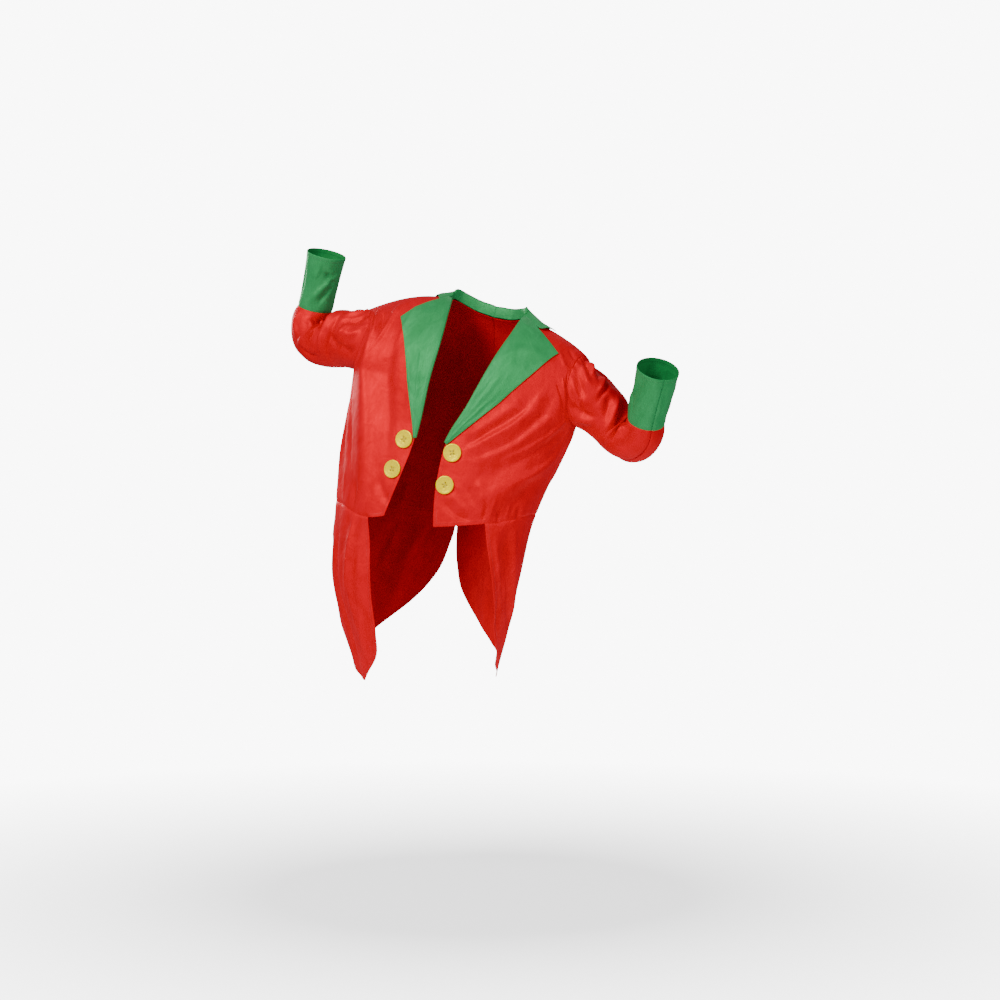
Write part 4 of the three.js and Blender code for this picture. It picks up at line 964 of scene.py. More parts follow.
# Creases of the sleeves: height, width, skew, and places as shares of the length and turns
SLEEVE_CREASES = {
    LEFT: [
        (4.0, 9, 0.3, (0.02, 0.50), (0.10, 0.44), (0.17, 0.36)),
        (-3.6, 8, 0.2, (0.03, 0.42), (0.11, 0.36), (0.20, 0.30)),
        (3.4, 8, -0.2, (0.04, 0.36), (0.14, 0.30), (0.24, 0.26)),
        (-3.0, 7, 0.3, (0.02, 0.29), (0.12, 0.25), (0.26, 0.22)),
        (3.0, 8, 0.1, (0.03, 0.22), (0.15, 0.19), (0.30, 0.20)),
        (-3.4, 8, 0.2, (0.02, 0.12), (0.14, 0.12), (0.30, 0.15), (0.44, 0.22)),
        (3.6, 9, -0.2, (0.04, 0.06), (0.18, 0.07), (0.34, 0.12), (0.46, 0.18)),
        (-4.2, 9, 0.3, (0.34, 0.36), (0.42, 0.30), (0.48, 0.20)),
        (4.0, 8, -0.3, (0.38, 0.42), (0.46, 0.34), (0.53, 0.22), (0.55, 0.12)),
        (-4.4, 8, 0.3, (0.44, 0.46), (0.51, 0.36), (0.57, 0.24), (0.60, 0.12)),
        (3.8, 8, 0.2, (0.50, 0.47), (0.57, 0.38), (0.63, 0.28)),
        (-3.0, 7, 0.2, (0.57, 0.48), (0.64, 0.42), (0.70, 0.36)),
        (3.0, 11, 0.1, (0.66, 0.22), (0.80, 0.26), (0.96, 0.24)),
        (-2.4, 9, 0.2, (0.70, 0.10), (0.84, 0.14), (0.98, 0.12)),
        (2.4, 8, 0.0, (0.76, 0.38), (0.88, 0.36), (0.99, 0.38)),
        (-3.2, 9, 0.2, (0.05, 0.60), (0.18, 0.62), (0.34, 0.58), (0.46, 0.52)),
        (3.4, 10, -0.2, (0.04, 0.70), (0.20, 0.72), (0.38, 0.70), (0.50, 0.62)),
        (-3.2, 9, 0.2, (0.06, 0.82), (0.22, 0.84), (0.40, 0.86)),
        (3.0, 9, 0.1, (0.54, 0.70), (0.66, 0.78), (0.78, 0.84)),
        (-3.0, 9, 0.2, (0.50, 0.90), (0.62, 0.96), (0.74, 1.00)),
        (2.6, 9, 0.0, (0.62, 0.58), (0.76, 0.62), (0.94, 0.60)),
        (-7.5, 30, 0.0, (-0.16, 0.52), (0.02, 0.49), (0.20, 0.47), (0.44, 0.48)),
        (3.2, 6, 0.3, (0.05, 0.47), (0.12, 0.40), (0.18, 0.30)),
        (-3.2, 6, 0.2, (0.08, 0.48), (0.16, 0.42), (0.24, 0.33)),
        (2.8, 6, -0.2, (0.20, 0.46), (0.26, 0.38), (0.30, 0.27)),
        (-3.0, 6, 0.2, (0.26, 0.44), (0.31, 0.35), (0.34, 0.23)),
        (-3.4, 6, 0.3, (0.10, 0.22), (0.20, 0.20), (0.30, 0.12)),
        (3.0, 6, 0.2, (0.56, 0.30), (0.60, 0.20), (0.61, 0.08)),
        (-3.2, 6, 0.2, (0.62, 0.34), (0.66, 0.22), (0.67, 0.10)),
        (-2.4, 8, 0.2, (0.78, 0.72), (0.90, 0.76), (0.99, 0.74)),
    ],
    RIGHT: [
        (4.2, 9, 0.2, (0.02, 0.52), (0.09, 0.50), (0.17, 0.46)),
        (-3.8, 8, 0.3, (0.02, 0.45), (0.12, 0.42), (0.22, 0.40)),
        (3.4, 8, -0.2, (0.04, 0.38), (0.14, 0.34), (0.25, 0.33)),
        (-3.0, 7, 0.2, (0.03, 0.30), (0.14, 0.27), (0.28, 0.29)),
        (3.0, 9, 0.1, (0.04, 0.20), (0.18, 0.20), (0.32, 0.26)),
        (-3.6, 9, 0.2, (0.03, 0.08), (0.16, 0.10), (0.32, 0.18), (0.44, 0.28)),
        (-4.4, 9, 0.3, (0.36, 0.56), (0.44, 0.46), (0.50, 0.36), (0.55, 0.24)),
        (4.4, 8, -0.3, (0.40, 0.60), (0.48, 0.50), (0.55, 0.40), (0.62, 0.30)),
        (-4.4, 8, 0.3, (0.46, 0.60), (0.53, 0.52), (0.60, 0.42), (0.68, 0.34)),
        (3.8, 8, 0.2, (0.52, 0.60), (0.60, 0.52), (0.68, 0.44)),
        (-3.0, 7, 0.2, (0.58, 0.60), (0.67, 0.54), (0.74, 0.50)),
        (3.2, 9, 0.1, (0.68, 0.26), (0.80, 0.28), (0.97, 0.26)),
        (-2.8, 8, 0.2, (0.70, 0.36), (0.84, 0.36), (0.99, 0.38)),
        (2.4, 8, 0.0, (0.74, 0.16), (0.86, 0.14), (0.98, 0.16)),
        (-3.2, 9, 0.2, (0.05, 0.66), (0.18, 0.68), (0.34, 0.70)),
        (3.4, 10, -0.2, (0.04, 0.76), (0.20, 0.80), (0.38, 0.84)),
        (-3.2, 9, 0.2, (0.06, 0.90), (0.22, 0.94), (0.42, 0.98)),
        (3.0, 9, 0.1, (0.54, 0.74), (0.66, 0.80), (0.80, 0.86)),
        (-3.0, 9, 0.2, (0.50, 0.96), (0.62, 1.02), (0.76, 1.06)),
        (2.6, 9, 0.0, (0.64, 0.66), (0.78, 0.70), (0.95, 0.68)),
        (-7.0, 30, 0.0, (0.08, 0.52), (0.24, 0.50), (0.40, 0.49), (0.58, 0.48)),
        (3.4, 6, 0.2, (0.30, 0.40), (0.38, 0.32), (0.48, 0.20), (0.52, 0.10)),
        (-3.6, 6, 0.3, (0.24, 0.36), (0.33, 0.27), (0.42, 0.16), (0.46, 0.06)),
        (3.2, 6, 0.2, (0.14, 0.30), (0.24, 0.22), (0.34, 0.10)),
        (-3.4, 6, 0.2, (0.62, 0.30), (0.64, 0.18), (0.62, 0.06)),
        (3.0, 6, 0.2, (0.70, 0.34), (0.72, 0.20), (0.70, 0.08)),
        (-3.0, 6, 0.2, (0.54, 0.14), (0.62, 0.10), (0.72, 0.14)),
        (-2.4, 8, 0.2, (0.78, 0.80), (0.90, 0.82), (0.99, 0.80)),
    ],
}

# Creases of the cuffs, in the same form, from the seam to the open end
CUFF_CREASES = {
    LEFT: [
        (-3.0, 7, 0.3, (0.02, 0.20), (0.34, 0.24), (0.66, 0.34), (0.96, 0.40)),
        (2.8, 8, -0.2, (0.04, 0.28), (0.36, 0.30), (0.62, 0.24), (0.94, 0.20)),
        (-2.4, 7, 0.2, (0.40, 0.28), (0.64, 0.20), (0.96, 0.12)),
        (2.4, 8, 0.0, (0.10, 0.44), (0.44, 0.46), (0.90, 0.48)),
        (-2.4, 8, 0.2, (0.06, 0.62), (0.40, 0.66), (0.84, 0.62)),
        (2.6, 9, 0.1, (0.12, 0.80), (0.50, 0.78), (0.94, 0.82)),
        (-2.6, 8, 0.2, (0.08, 0.98), (0.44, 0.94), (0.90, 0.98)),
    ],
    RIGHT: [
        (-5.0, 9, 0.2, (0.52, 0.44), (0.66, 0.36), (0.78, 0.30)),
        (3.4, 9, -0.2, (0.04, 0.20), (0.34, 0.28), (0.60, 0.38), (0.80, 0.50)),
        (-2.8, 8, 0.3, (0.10, 0.30), (0.40, 0.38), (0.56, 0.46)),
        (2.8, 8, 0.0, (0.56, 0.22), (0.78, 0.26), (0.98, 0.24)),
        (-3.2, 9, 0.2, (0.20, 0.10), (0.56, 0.10), (0.94, 0.06)),
        (2.6, 9, 0.1, (0.10, 0.64), (0.46, 0.68), (0.90, 0.66)),
        (-2.4, 8, 0.2, (0.08, 0.84), (0.44, 0.80), (0.92, 0.84)),
    ],
}

SLEEVE_DEPTH, CUFF_DEPTH = 2.1, 1.3  # the creases, against the heights listed above
SLEEVE_SETTLE = 8  # distance from the armhole over which the creases set in
SLEEVE_TUCK = 1.2  # how far a sleeve's edge lies under the body at the armhole
SLEEVE_ROUND = 390  # cloth's length round a sleeve, for the creases' sizes

# The sleeve head's fullness beyond its seam, with gathers round it, between two shares of a turn
HEAD = {"height": 4.5, "from": 3, "to": 26, "rise": (0.12, 0.34), "fall": (0.66, 0.9)}
GATHERS = {"count": 23, "depth": 0.35, "sway": 1.3, "sways": 5}


def tube_creases(s, turn, length, rows):
    """Lift of the creases of a tube, which also run on past a whole turn."""
    lift = np.zeros(s.shape)
    for height, width, skew, *path in rows:
        scaled = [(p * length, q * SLEEVE_ROUND) for p, q in path]
        for whole in (-1, 0, 1):
            lift = lift + crease(s, (turn + whole) * SLEEVE_ROUND, scaled, height, width, skew)
    return lift


def around(path, distances, count, tuck):
    """Points and normals of a tube, with its distances and shares of a turn as grids."""
    turns = whole_turn(count)
    points = path.points(distances, turns, tuck)
    normal = surface_normals(points, True, points - points.mean(1, keepdims=True))
    return points, normal, *np.meshgrid(distances, turns, indexing="ij")


def under_arm(turn):
    """Valley of the seam that runs along the under side of a tube."""
    return seam_dip(np.minimum(turn, 1 - turn) * SLEEVE_ROUND)


def lifted(points, normal, lift, s, turn):
    """Points, outward directions and flat places of a tube with its relief."""
    flat = np.stack([turn * SLEEVE_ROUND, -s], -1)
    return points + normal * lift[..., None], normal, flat


def sleeve_grid(side):
    """The same for a sleeve, from the armhole to the cuff's seam."""
    path = SleevePath(side)
    last = path.total - CUFF_LENGTH
    distances = np.concatenate([(0, 1.5, 3, 5, 8), np.linspace(11, last, 116)])
    points, normal, S, V = around(path, distances, 112, SLEEVE_TUCK)
    lift = SLEEVE_DEPTH * tube_creases(S, V, last, SLEEVE_CREASES[side])
    lift = lift * smooth(0, SLEEVE_SETTLE, S)
    head = smooth(0, HEAD["from"], S) * (1 - smooth(HEAD["from"], HEAD["to"], S))
    turn = V * 2 * math.pi
    sway = GATHERS["sway"] * np.sin(turn * GATHERS["sways"])
    gathers = 1 + GATHERS["depth"] * np.sin(turn * GATHERS["count"] + sway)
    top = smooth(*HEAD["rise"], V) * (1 - smooth(*HEAD["fall"], V))
    lift = lift + HEAD["height"] * head * gathers * top
    lift = lift + seam_dip(last - S) + under_arm(V)
    return lifted(points, normal, lift, S, V)


def cuff_grid(side):
    """The same for a cuff, from its seam to the open end."""
    path = SleevePath(side)
    seam = path.total - CUFF_LENGTH
    distances = seam + CUFF_LENGTH * graded(54, CUFF_LENGTH, end=True)
    points, normal, S, V = around(path, distances, 104, 0)
    S = S - seam
    lift = CUFF_DEPTH * tube_creases(S, V, CUFF_LENGTH, CUFF_CREASES[side])
    lift = lift + seam_dip(S) + under_arm(V)
    return lifted(points, normal, lift, S, V)


class Nodes:
    """Short ways to add the nodes of one material."""

    def __init__(self, name):
        self.material = bpy.data.materials.new(name)
        self.material.use_nodes = True
        self.tree = self.material.node_tree
        self.shader = self.tree.nodes["Principled BSDF"]
        self.place = self.add("ShaderNodeUVMap", uv_map="cloth").outputs["UV"]

    def add(self, kind, inputs=None, **values):
        node = self.tree.nodes.new(kind)
        for key, value in values.items():
            setattr(node, key, value)
        for key, value in (inputs or {}).items():
            self.put(node.inputs[key], value)
        return node

    def put(self, socket, value):
        if isinstance(value, bpy.types.NodeSocket):
            self.tree.links.new(value, socket)
        else:
            socket.default_value = value

    def set(self, **values):
        for key, value in values.items():
            self.put(self.shader.inputs[key.replace("_", " ")], value)

    def stretch(self, x, y, spin=0.0):
        """Cloth places scaled along and across, to draw out a noise."""
        inputs = {"Vector": self.place, "Scale": (x, y, 1), "Rotation": (0, 0, spin)}
        return self.add("ShaderNodeMapping", inputs).outputs["Vector"]

    def noise(self, vector, scale, detail=3.0, rough=0.55, warp=0.0):
        inputs = {"Vector": vector, "Scale": scale, "Detail": detail, "Roughness": rough}
        return self.add("ShaderNodeTexNoise", inputs | {"Distortion": warp}).outputs["Fac"]

    def ramp(self, value, low, high, a=0.0, b=1.0):
        names = ("Value", "From Min", "From Max", "To Min", "To Max")
        inputs = dict(zip(names, (value, low, high, a, b)))
        return self.add("ShaderNodeMapRange", inputs).outputs["Result"]

    def blend(self, share, a, b):
        node = self.add("ShaderNodeMix", data_type="RGBA")
        self.put(node.inputs[0], share)
        self.put(node.inputs[6], a)
        self.put(node.inputs[7], b)
        return node.outputs[2]

    def maths(self, how, a, b):
        node = self.add("ShaderNodeMath", operation=how)
        self.put(node.inputs[0], a)
        self.put(node.inputs[1], b)
        return node.outputs[0]

    def bump(self, height, distance, strength=1.0, normal=None):
        inputs = {"Height": height, "Distance": distance, "Strength": strength}
        node = self.add("ShaderNodeBump", inputs)
        if normal is not None:
            self.put(node.inputs["Normal"], normal)
        return node.outputs["Normal"]


def satin(name, deep, main, light, tint, reverse=False):
    """Woven satin: long floats of thread, small creases and uneven dye."""
    n = Nodes(name)
    patches = n.ramp(n.noise(n.place, 9, 2), 0.3, 0.7)
    soft = n.ramp(n.noise(n.stretch(1.0, 0.6, 0.4), 34, 4, 0.6, 0.4), 0.35, 0.68)
    slubs = n.ramp(n.noise(n.stretch(2600, 90), 1, 2), 0.35, 0.75)
    colour = n.blend(n.maths("MULTIPLY", patches, 0.55), main, light)
    colour = n.blend(n.maths("MULTIPLY", soft, 0.4), colour, deep)
    colour = n.blend(n.maths("MULTIPLY", slubs, 0.16), colour, light)
    warp = n.add("ShaderNodeTexWave", {"Vector": n.place, "Scale": 420.0, "Distortion": 0.6})
    weft = n.add("ShaderNodeTexWave", {"Vector": n.place, "Scale": 300.0}, bands_direction="Y")
    weave = n.maths("ADD", warp.outputs["Fac"], n.maths("MULTIPLY", weft.outputs["Fac"], 0.4))
    small = n.noise(n.stretch(1.0, 0.55, 0.5), 75, 3, 0.5, 0.3)
    ripple = n.noise(n.stretch(0.8, 1.0, -0.5), 26, 2, 0.5, 0.5)
    normal = n.bump(ripple, 0.0026)
    normal = n.bump(small, 0.0006, normal=normal)
    normal = n.bump(weave, 0.00004, normal=normal)
    rough = (0.56, 0.68) if reverse else (0.48, 0.58)
    n.set(
        Base_Color=colour,
        Metallic=0.05 if reverse else 0.28,
        Roughness=n.ramp(n.noise(n.stretch(1.0, 0.3), 160, 3), 0.3, 0.7, *rough),
        Specular_IOR_Level=0.12,
        Specular_Tint=tint,
        Anisotropic=0.0 if reverse else 0.35,
        Sheen_Weight=0.06,
        Sheen_Roughness=0.4,
        Sheen_Tint=tint,
        Normal=normal,
    )
    return n.material


def yarn(name, deep, light):
    """Twisted sewing thread."""
    n = Nodes(name)
    place = n.add("ShaderNodeTexCoord").outputs["Object"]
    n.set(
        Base_Color=n.blend(n.ramp(n.noise(place, 400, 2), 0.35, 0.65), deep, light),
        Roughness=0.55,
        Sheen_Weight=0.2,
        Normal=n.bump(n.noise(place, 1600, 2), 0.00008),
    )
    return n.material


def plastic(name, deep, light):
    """Moulded button plastic with slight flow marks."""
    n = Nodes(name)
    place = n.add("ShaderNodeTexCoord").outputs["Object"]
    streaks = n.add("ShaderNodeMapping", {"Vector": place, "Scale": (1, 2.4, 1)}).outputs["Vector"]
    n.set(
        Base_Color=n.blend(n.ramp(n.noise(streaks, 90, 3, 0.5, 0.8), 0.3, 0.7), deep, light),
        Roughness=n.ramp(n.noise(place, 320, 3), 0.3, 0.7, 0.24, 0.34),
        Metallic=0.2,
        Specular_IOR_Level=0.12,
        Specular_Tint=(1, 0.85, 0.2, 1),
        Normal=n.bump(n.noise(place, 240, 3), 0.00006),
    )
    return n.material


RED_TINT, GREEN_TINT = (1.0, 0.05, 0.06, 1), (0.35, 1.0, 0.5, 1)
RED = (0.46, 0.0, 0.004, 1), (0.72, 0.0, 0.010, 1), (0.86, 0.002, 0.016, 1)
RED_REVERSE = (0.36, 0.0, 0.003, 1), (0.55, 0.0, 0.008, 1), (0.64, 0.002, 0.012, 1)
GREEN = (0.014, 0.18, 0.044, 1), (0.032, 0.31, 0.088, 1), (0.055, 0.39, 0.13, 1)
GREEN_REVERSE = (0.010, 0.14, 0.030, 1), (0.018, 0.23, 0.052, 1), (0.030, 0.28, 0.07, 1)
materials = {
    "red": satin("red_satin", *RED, RED_TINT),
    "red_back": satin("red_reverse", *RED_REVERSE, RED_TINT, True),
    "green": satin("green_satin", *GREEN, GREEN_TINT),
    "green_back": satin("green_reverse", *GREEN_REVERSE, GREEN_TINT, True),
    "button": plastic("yellow_plastic", (0.90, 0.66, 0.0, 1), (1.0, 0.80, 0.0, 1)),
    "thread_red": yarn("red_thread", (0.38, 0.003, 0.004, 1), (0.60, 0.01, 0.012, 1)),
    "thread_green": yarn("green_thread", (0.03, 0.17, 0.06, 1), (0.06, 0.27, 0.10, 1)),
    "thread_yellow": yarn("yellow_thread", (0.62, 0.44, 0.02, 1), (0.80, 0.64, 0.05, 1)),
}


# Grid of each kind of piece, and how its shell is made
COLLAR_EDGES = {"edges": ("end", "bottom"), "hem": COLLAR_HEM_HALF}
SHELLS = {
    "front": (front_grid, {"edges": ("start", "bottom")}),
    "back": (back_grid, {}),
    "tail": (tail_grid, {"edges": ("start", "end", "bottom")}),
    "sleeve": (sleeve_grid, {"ring": True}),
    "cuff": (cuff_grid, {"edges": ("bottom",), "ring": True}),
    "lapel": (lapel_grid, COLLAR_EDGES),
    "collar": (collar_grid, COLLAR_EDGES),
}


def build_shells():
    """Every cloth piece of the coat."""
    made = {}
    for word, side in SIDES.items():
        for kind, (grid, how) in SHELLS.items():
            hem = front_hem(side) if kind == "front" else None
            name = f"{kind}_cloth_{word}"
            made[f"{kind}_{word}"] = shell(name, *grid(side), hem_columns=hem, **how)
    return made


def tube_faces(base, rings, sides):
    """Faces of a tube of rings, closed at both ends."""
    faces = []
    for r in range(rings - 1):
        for q in range(sides):
            n = (q + 1) % sides
            low, high = base + r * sides, base + (r + 1) * sides
            faces.append((low + q, low + n, high + n, high + q))
    faces.append(tuple(base + q for q in range(sides))[::-1])
    faces.append(tuple(base + (rings - 1) * sides + q for q in range(sides)))
    return faces


def circle(across, up, sides):
    """Places round a circle of radius one over two directions."""
    a = whole_turn(sides) * 2 * math.pi
    return np.cos(a)[:, None] * across + np.sin(a)[:, None] * up


# Sewing stitches along the hems, in millimetres
STITCH = {"length": 3.0, "pitch": 4.2, "radius": 0.32, "sunk": 0.1, "rise": 0.9, "bend": 3.6}
STITCH_FORM = ((-0.5, 0.25), (-0.36, 0.9), (0.0, 1.0), (0.36, 0.9), (0.5, 0.25))
STITCH_SIDES = 6
STITCH_REACH = 60  # columns or rows of a grid in which its stitching line is looked for


def first_at(near, points, normals):
    """Where the distance to the edge first reaches the stitching line, walking in."""
    reached = np.flatnonzero(near[:STITCH_REACH] >= STITCH_LINE)
    if len(reached) == 0 or reached[0] == 0:
        return None
    k = reached[0]
    f = (STITCH_LINE - near[k - 1]) / (near[k] - near[k - 1])
    return mix(points[k - 1], points[k], f), unit(mix(normals[k - 1], normals[k], f))


def seam_line(name, edge, columns=None):
    """Places of the stitching inside one free edge of a piece."""
    points, normals, near = faces_of[name]
    if edge == "bottom":
        picked = range(points.shape[1]) if columns is None else np.flatnonzero(columns)
        lines = [(slice(None, None, -1), j) for j in picked]
    else:
        step = 1 if edge == "start" else -1
        lines = [(i, slice(None, None, step)) for i in range(len(points))]
    found = [first_at(near[k], points[k], normals[k]) for k in lines]
    return [place for place in found if place is not None]


def stitches(name, lines, material, closed=False):
    """A row of small capsules, one per stitch, along each line of places."""
    verts, faces = [], []
    for line in lines:
        points = np.array([p for p, _ in line])
        normals = np.array([n for _, n in line])
        if closed:
            points = np.vstack([points, points[:1]])
            normals = np.vstack([normals, normals[:1]])
        run = np.concatenate([[0], np.cumsum(np.linalg.norm(np.diff(points, axis=0), axis=1))])
        centres = np.arange(STITCH["pitch"], run[-1] - STITCH["pitch"], STITCH["pitch"])

        def at(s, rows):
            return np.stack([np.interp(s, run, rows[:, k]) for k in range(3)], -1)

        half = STITCH["length"] / 2
        ahead = unit(at(centres + half, points) - at(centres - half, points))
        normal = unit(at(centres, normals))
        beside = unit(np.cross(normal, ahead))
        middle = at(centres, points) - normal * STITCH["sunk"]
        for k in range(len(centres)):
            faces += tube_faces(len(verts) * STITCH_SIDES, len(STITCH_FORM), STITCH_SIDES)
            ring = circle(beside[k], normal[k], STITCH_SIDES)
            for along, width in STITCH_FORM:
                bow = normal[k] * STITCH["radius"] * (STITCH["rise"] - STITCH["bend"] * along**2)
                centre = middle[k] + ahead[k] * along * STITCH["length"] + bow
                verts.append(centre + ring * STITCH["radius"] * width)
    return solid(name, np.concatenate(verts), faces, material)


def solid(name, verts, faces, material):
    """A smooth shaded mesh from places in millimetres."""
    mesh = bpy.data.meshes.new(name)
    mesh.from_pydata((np.asarray(verts) * MM).tolist(), [], faces)
    mesh.polygons.foreach_set("use_smooth", np.ones(len(mesh.polygons), bool))
    mesh.materials.append(material)
    piece = bpy.data.objects.new(name, mesh)
    bpy.context.scene.collection.objects.link(piece)
    return piece


# Buttons, in millimetres
BUTTON = {"diameter": 43, "thickness": 5, "dish": 1.2, "rim": 4, "hole": 3.4, "pitch": 6.7}
BUTTON_LIFT = 1.3  # back of a button above the middle of the cloth
BUTTON_BACK, BUTTON_EDGE = 8, 2.0  # radius of the back's middle and of the rounded edge
BUTTON_SLOPE = (0.9, 2.8)  # start of the rim's inner slope, beyond the rim, and its run
BUTTON_MIDDLE = ((11, 0.12), (6, 0.2))  # radii in the dish, and how much deeper they lie
BUTTON_ROUND, HOLE_ROUND = 96, 32  # steps round a button and round one of its holes
BUTTON_SPIN = (7, 23)  # how far the first button is turned, and each next one more, in degrees

# Section of a hole by its rounded ends: how much wider, and how far in or out
HOLE_BACK = ((1, -1), (0.9, 0.2), (0.3, 0.5), (0, 1.0))
HOLE_FRONT = ((0, -0.8), (0.15, -0.35), (0.5, -0.05), (1.0, 1))

# Thread through the holes: its radius, the strands' places, and how they arch and go down
THREAD = {"radius": 0.42, "apart": 0.75, "rise": 0.55, "stack": 0.12, "arch": 0.25, "sink": 4.6}
THREAD_SIDES, THREAD_STEPS = 8, 13
THREAD_REACH = 1.25  # how soon a strand is over its hole
THREAD_DOWN, THREAD_CURVE = 0.74, 1.6  # share where it goes down, and how gently it starts
THREAD_GATHER = 0.4  # how much the strands draw together in the hole
THREAD_LEAN = (0.6, 0.3)  # share where a strand starts to turn down, and the turn's length


def lathe(profile, count):
    """Places and faces of a profile of (radius, height) turned about the upright axis."""
    a = whole_turn(count) * 2 * math.pi
    verts = [(r * np.cos(a), r * np.sin(a), np.full(count, h)) for r, h in profile]
    verts = np.concatenate([np.stack(v, -1) for v in verts])
    return verts, tube_faces(0, len(profile), count)


def button_mesh():
    """One button: a rounded rim, a dished middle and four holes through it."""
    outer, thick = BUTTON["diameter"] / 2, BUTTON["thickness"]
    dished = thick - BUTTON["dish"]
    middle = outer - BUTTON_EDGE
    profile = [(BUTTON_BACK, 0), (middle - 0.2, 0)]
    for a in np.linspace(-90, 90, 15):
        x, y = math.cos(math.radians(a)), math.sin(math.radians(a))
        profile.append((middle + BUTTON_EDGE * x, thick / 2 + thick / 2 * y))
    inner = outer - BUTTON["rim"] + BUTTON_SLOPE[0]
    for f in np.linspace(0, 1, 9):
        height = thick - BUTTON["dish"] * float(smooth(0, 1, f))
        profile.append((inner - BUTTON_SLOPE[1] * f, height))
    profile += [(radius, dished - deeper) for radius, deeper in BUTTON_MIDDLE]
    body = solid("button_form", *lathe(profile, BUTTON_ROUND), materials["button"])
    r, low, high = BUTTON["hole"] / 2, -0.2, dished - 0.2
    hole = [(r + wider, low + out) for wider, out in HOLE_BACK]
    hole += [(r + wider, high + out) for wider, out in HOLE_FRONT]
    verts, faces = lathe(hole, HOLE_ROUND)
    cutter_verts, cutter_faces = [], []
    for x, y in ((1, 1), (1, -1), (-1, 1), (-1, -1)):
        base = HOLE_ROUND * len(hole) * len(cutter_verts)
        cutter_verts.append(verts + np.array((x, y, 0)) * BUTTON["pitch"] / 2)
        cutter_faces += [tuple(base + k for k in face) for face in faces]
    cutter = solid("button_cutter", np.concatenate(cutter_verts), cutter_faces, materials["button"])
    cut = body.modifiers.new("holes", "BOOLEAN")
    cut.operation, cut.solver, cut.object = "DIFFERENCE", "EXACT", cutter
    seen = body.evaluated_get(bpy.context.evaluated_depsgraph_get())
    mesh = bpy.data.meshes.new_from_object(seen)
    for piece in (body, cutter):
        bpy.data.objects.remove(piece)
    return mesh


def button_thread():
    """Places and faces of the thread through a button's holes, two bars of three strands."""
    verts, faces = [], []
    half, top = BUTTON["pitch"] / 2, BUTTON["thickness"] - BUTTON["dish"] - 0.2
    across = np.array((0.0, 1.0, 0.0))
    for bar in (-1, 1):
        for strand, shift in enumerate((-THREAD["apart"], 0.0, THREAD["apart"])):
            faces += tube_faces(len(verts) * THREAD_SIDES, THREAD_STEPS, THREAD_SIDES)
            lift = top + THREAD["rise"] + THREAD["stack"] * strand
            for f in np.linspace(-1, 1, THREAD_STEPS):
                reach = half * math.copysign(min(abs(f) * THREAD_REACH, 1), f)
                down = max(abs(f) - THREAD_DOWN, 0) / (1 - THREAD_DOWN)
                height = lift - THREAD["sink"] * down**THREAD_CURVE - THREAD["arch"] * f * f
                aside = bar * half + shift * (1 - THREAD_GATHER * down)
                centre = np.array((reach, aside, height))
                share = min(max((abs(f) - THREAD_LEAN[0]) / THREAD_LEAN[1], 0), 1)
                lean = share * math.pi / 2 * math.copysign(1, f)
                up = np.array((math.sin(lean), 0.0, math.cos(lean)))
                verts.append(centre + THREAD["radius"] * circle(across, up, THREAD_SIDES))
    return np.concatenate(verts), faces


def place_buttons():
    """The four buttons, sewn flat on the fronts."""
    mesh = button_mesh()
    thread_verts, thread_faces = button_thread()
    for k, (name, side, x, level) in enumerate(BUTTONS):
        point, normal = cloth_at(x, level, side, relief)
        normal = unit(normal)
        across = unit(np.cross(np.array((0.0, 0.0, 1.0)), normal))
        up = np.cross(normal, across)
        spin = math.radians(BUTTON_SPIN[0] + BUTTON_SPIN[1] * k)
        c, s = math.cos(spin), math.sin(spin)
        turn = np.stack([across * c + up * s, up * c - across * s, normal], 1)
        origin = point + normal * BUTTON_LIFT
        piece = bpy.data.objects.new(f"{name}_plastic", mesh.copy())
        bpy.context.scene.collection.objects.link(piece)
        matrix = np.eye(4)
        matrix[:3, :3], matrix[:3, 3] = turn, origin * MM
        piece.matrix_world = Matrix(matrix.tolist())
        finish_piece(piece, [], "yellow_button", name)
        verts = thread_verts @ turn.T + origin
        thread = solid(f"{name}_thread", verts, thread_faces, materials["thread_yellow"])
        finish_piece(thread, [], "yellow_button")


FLAT_ROOM = 0.004  # added to the size of the cut cloth, in metres


def cloth_points(name):
    """Places of a piece's cloth in metres, closed round where it is a tube."""
    points = faces_of[name][0] * MM
    if name.startswith(("sleeve", "cuff")):
        points = np.concatenate([points, points[:, :1]], 1)
    return points


def flat_size(name):
    """Width and length of the cloth that a piece is cut from, in metres."""
    points = cloth_points(name)
    lengths = (np.linalg.norm(np.diff(points, axis=k), axis=2).sum(k) for k in (1, 0))
    return tuple(round(float(length.max()) + FLAT_ROOM, 3) for length in lengths)


cloths = build_shells()
for key, piece in cloths.items():
    kind = key.split("_")[0]
    colour = "red" if kind in ("front", "back", "tail", "sleeve") else "green"
    pair = [materials[colour], materials[f"{colour}_back"]]
    finish_piece(piece, pair, f"{colour}_satin", key)
for key, piece in cloths.items():
    kind, word = key.split("_")
    flat_size(piece.name)

for word, side in SIDES.items():
    tail, front, cuff = (f"{kind}_cloth_{word}" for kind in ("tail", "front", "cuff"))
    red = [seam_line(tail, "start"), seam_line(tail, "end"), seam_line(front, "start")]
    red += [seam_line(front, "bottom", front_hem(side))]
    red = [line for line in red if len(line) > 3]
    green = [seam_line(cuff, "bottom")]
    sewn = stitches(f"hem_stitches_{word}", red, materials["thread_red"])
    finish_piece(sewn, [], "red_satin")
    sewn = stitches(f"cuff_stitches_{word}", green, materials["thread_green"], True)
    finish_piece(sewn, [], "green_satin")
place_buttons()

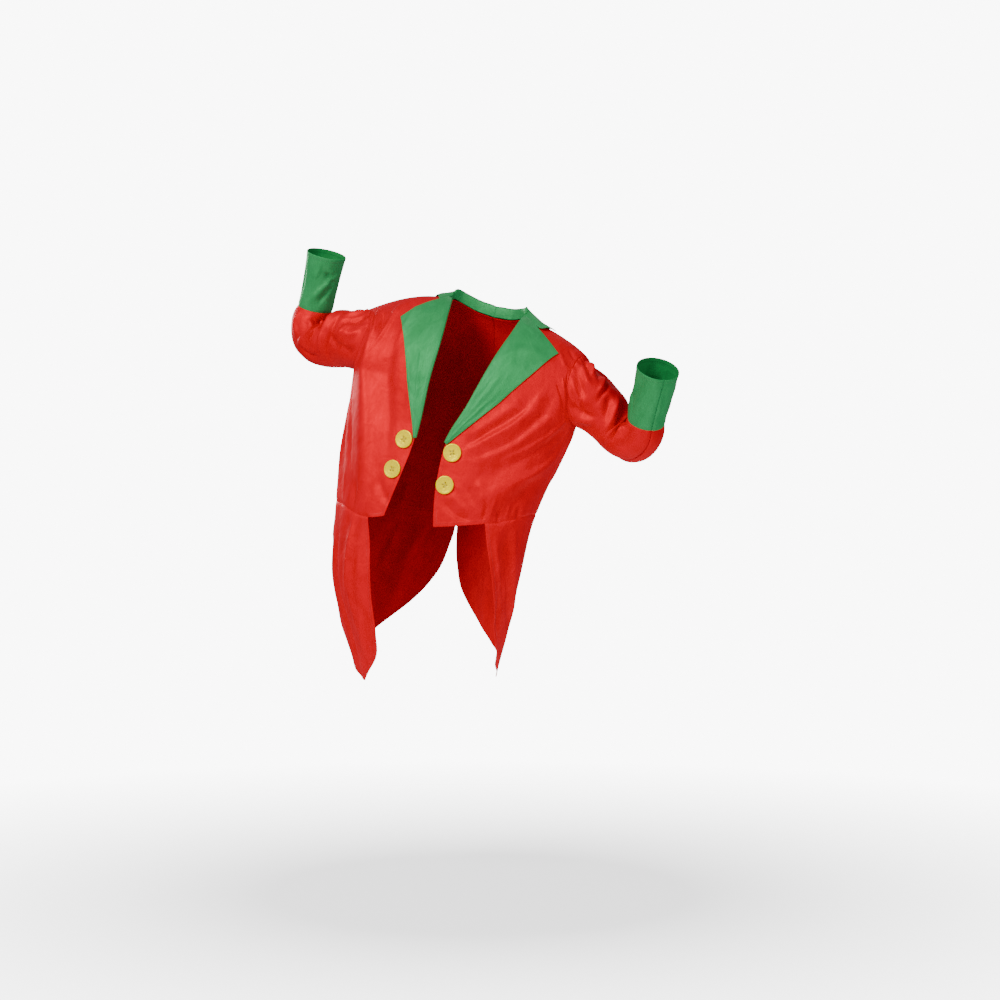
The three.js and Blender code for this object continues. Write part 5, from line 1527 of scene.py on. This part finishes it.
# Floor, backdrop and the lights' aim, in metres
FLOOR_Z = -1.375
FLOOR_RADIUS, FLOOR_ROUND = 2.6, 96
BACKDROP_RADIUS, BACKDROP_ROUND = 30, 48
BACKDROP_RISE = np.radians(np.linspace(-89, 89, 32))
AIM = Vector((-0.02, 0.03, -0.44))


def glow(name, colour, strength):
    """An even light of its own."""
    n = Nodes(name)
    n.set(Base_Color=(0, 0, 0, 1), Emission_Color=colour, Emission_Strength=strength)
    return n.material


def plain(name, colour, rough):
    """The floor, which fades out towards its edge."""
    n = Nodes(name)
    place = n.add("ShaderNodeTexCoord").outputs["Object"]
    tone = n.ramp(n.noise(place, 3, 2), 0.3, 0.7)
    away = n.add("ShaderNodeVectorMath", {"Vector": place}, operation="LENGTH").outputs["Value"]
    n.set(
        Base_Color=n.blend(tone, colour, tuple(c * 0.985 for c in colour[:3]) + (1,)),
        Roughness=rough,
        Specular_IOR_Level=0.1,
        Emission_Color=(1, 1, 1, 1),
        Emission_Strength=0.6,
        Alpha=n.ramp(away, 0.5, 2.5, 0.9, 0.0),
    )
    return n.material


verts, faces = lathe([(FLOOR_RADIUS, 0), (1e-3, 0)], FLOOR_ROUND)
look = plain("floor_pale", (0.86, 0.86, 0.86, 1), 0.7)
floor = solid("floor", verts / MM, faces[:FLOOR_ROUND], look)
floor.location.z = FLOOR_Z

# A pale backdrop all round, which only the camera sees
profile = [(BACKDROP_RADIUS * math.cos(a), BACKDROP_RADIUS * math.sin(a)) for a in BACKDROP_RISE]
verts, faces = lathe(profile, BACKDROP_ROUND)
backdrop = solid("backdrop", verts / MM, faces, glow("backdrop_pale", (1, 1, 1, 1), 9.0))
backdrop.visible_diffuse = backdrop.visible_glossy = False
backdrop.visible_transmission = backdrop.visible_volume_scatter = False
backdrop.visible_shadow = False

world = bpy.data.worlds.new("studio")
bpy.context.scene.world = world
world.use_nodes = True
sky = world.node_tree.nodes["Background"].inputs
sky["Color"].default_value = (0.92, 0.95, 1.0, 1)
sky["Strength"].default_value = 0.3


def light(name, place, size, power, colour=(1, 1, 1)):
    """A soft area light that shines at the coat."""
    lamp = bpy.data.lights.new(name, "AREA")
    lamp.shape, lamp.size, lamp.energy, lamp.color = "DISK", size, power, colour
    holder = bpy.data.objects.new(name, lamp)
    holder.location = place
    holder.rotation_euler = (AIM - Vector(place)).to_track_quat("-Z", "Y").to_euler()
    bpy.context.scene.collection.objects.link(holder)


light("key", (-2.3, -3.0, 2.0), 1.7, 185)
light("fill", (2.8, -3.2, 0.3), 1.8, 62)
light("rim", (0.6, 2.8, 2.2), 1.6, 10)
light("back", (-2.6, 3.4, 0.8), 0.9, 85)

camera = bpy.data.objects.new("camera", bpy.data.cameras.new("camera"))
camera.location = (0.048, -5.0, -0.4368)
camera.rotation_euler = (math.pi / 2, 0, 0)
camera.data.lens = 75
bpy.context.scene.collection.objects.link(camera)
bpy.context.scene.camera = camera
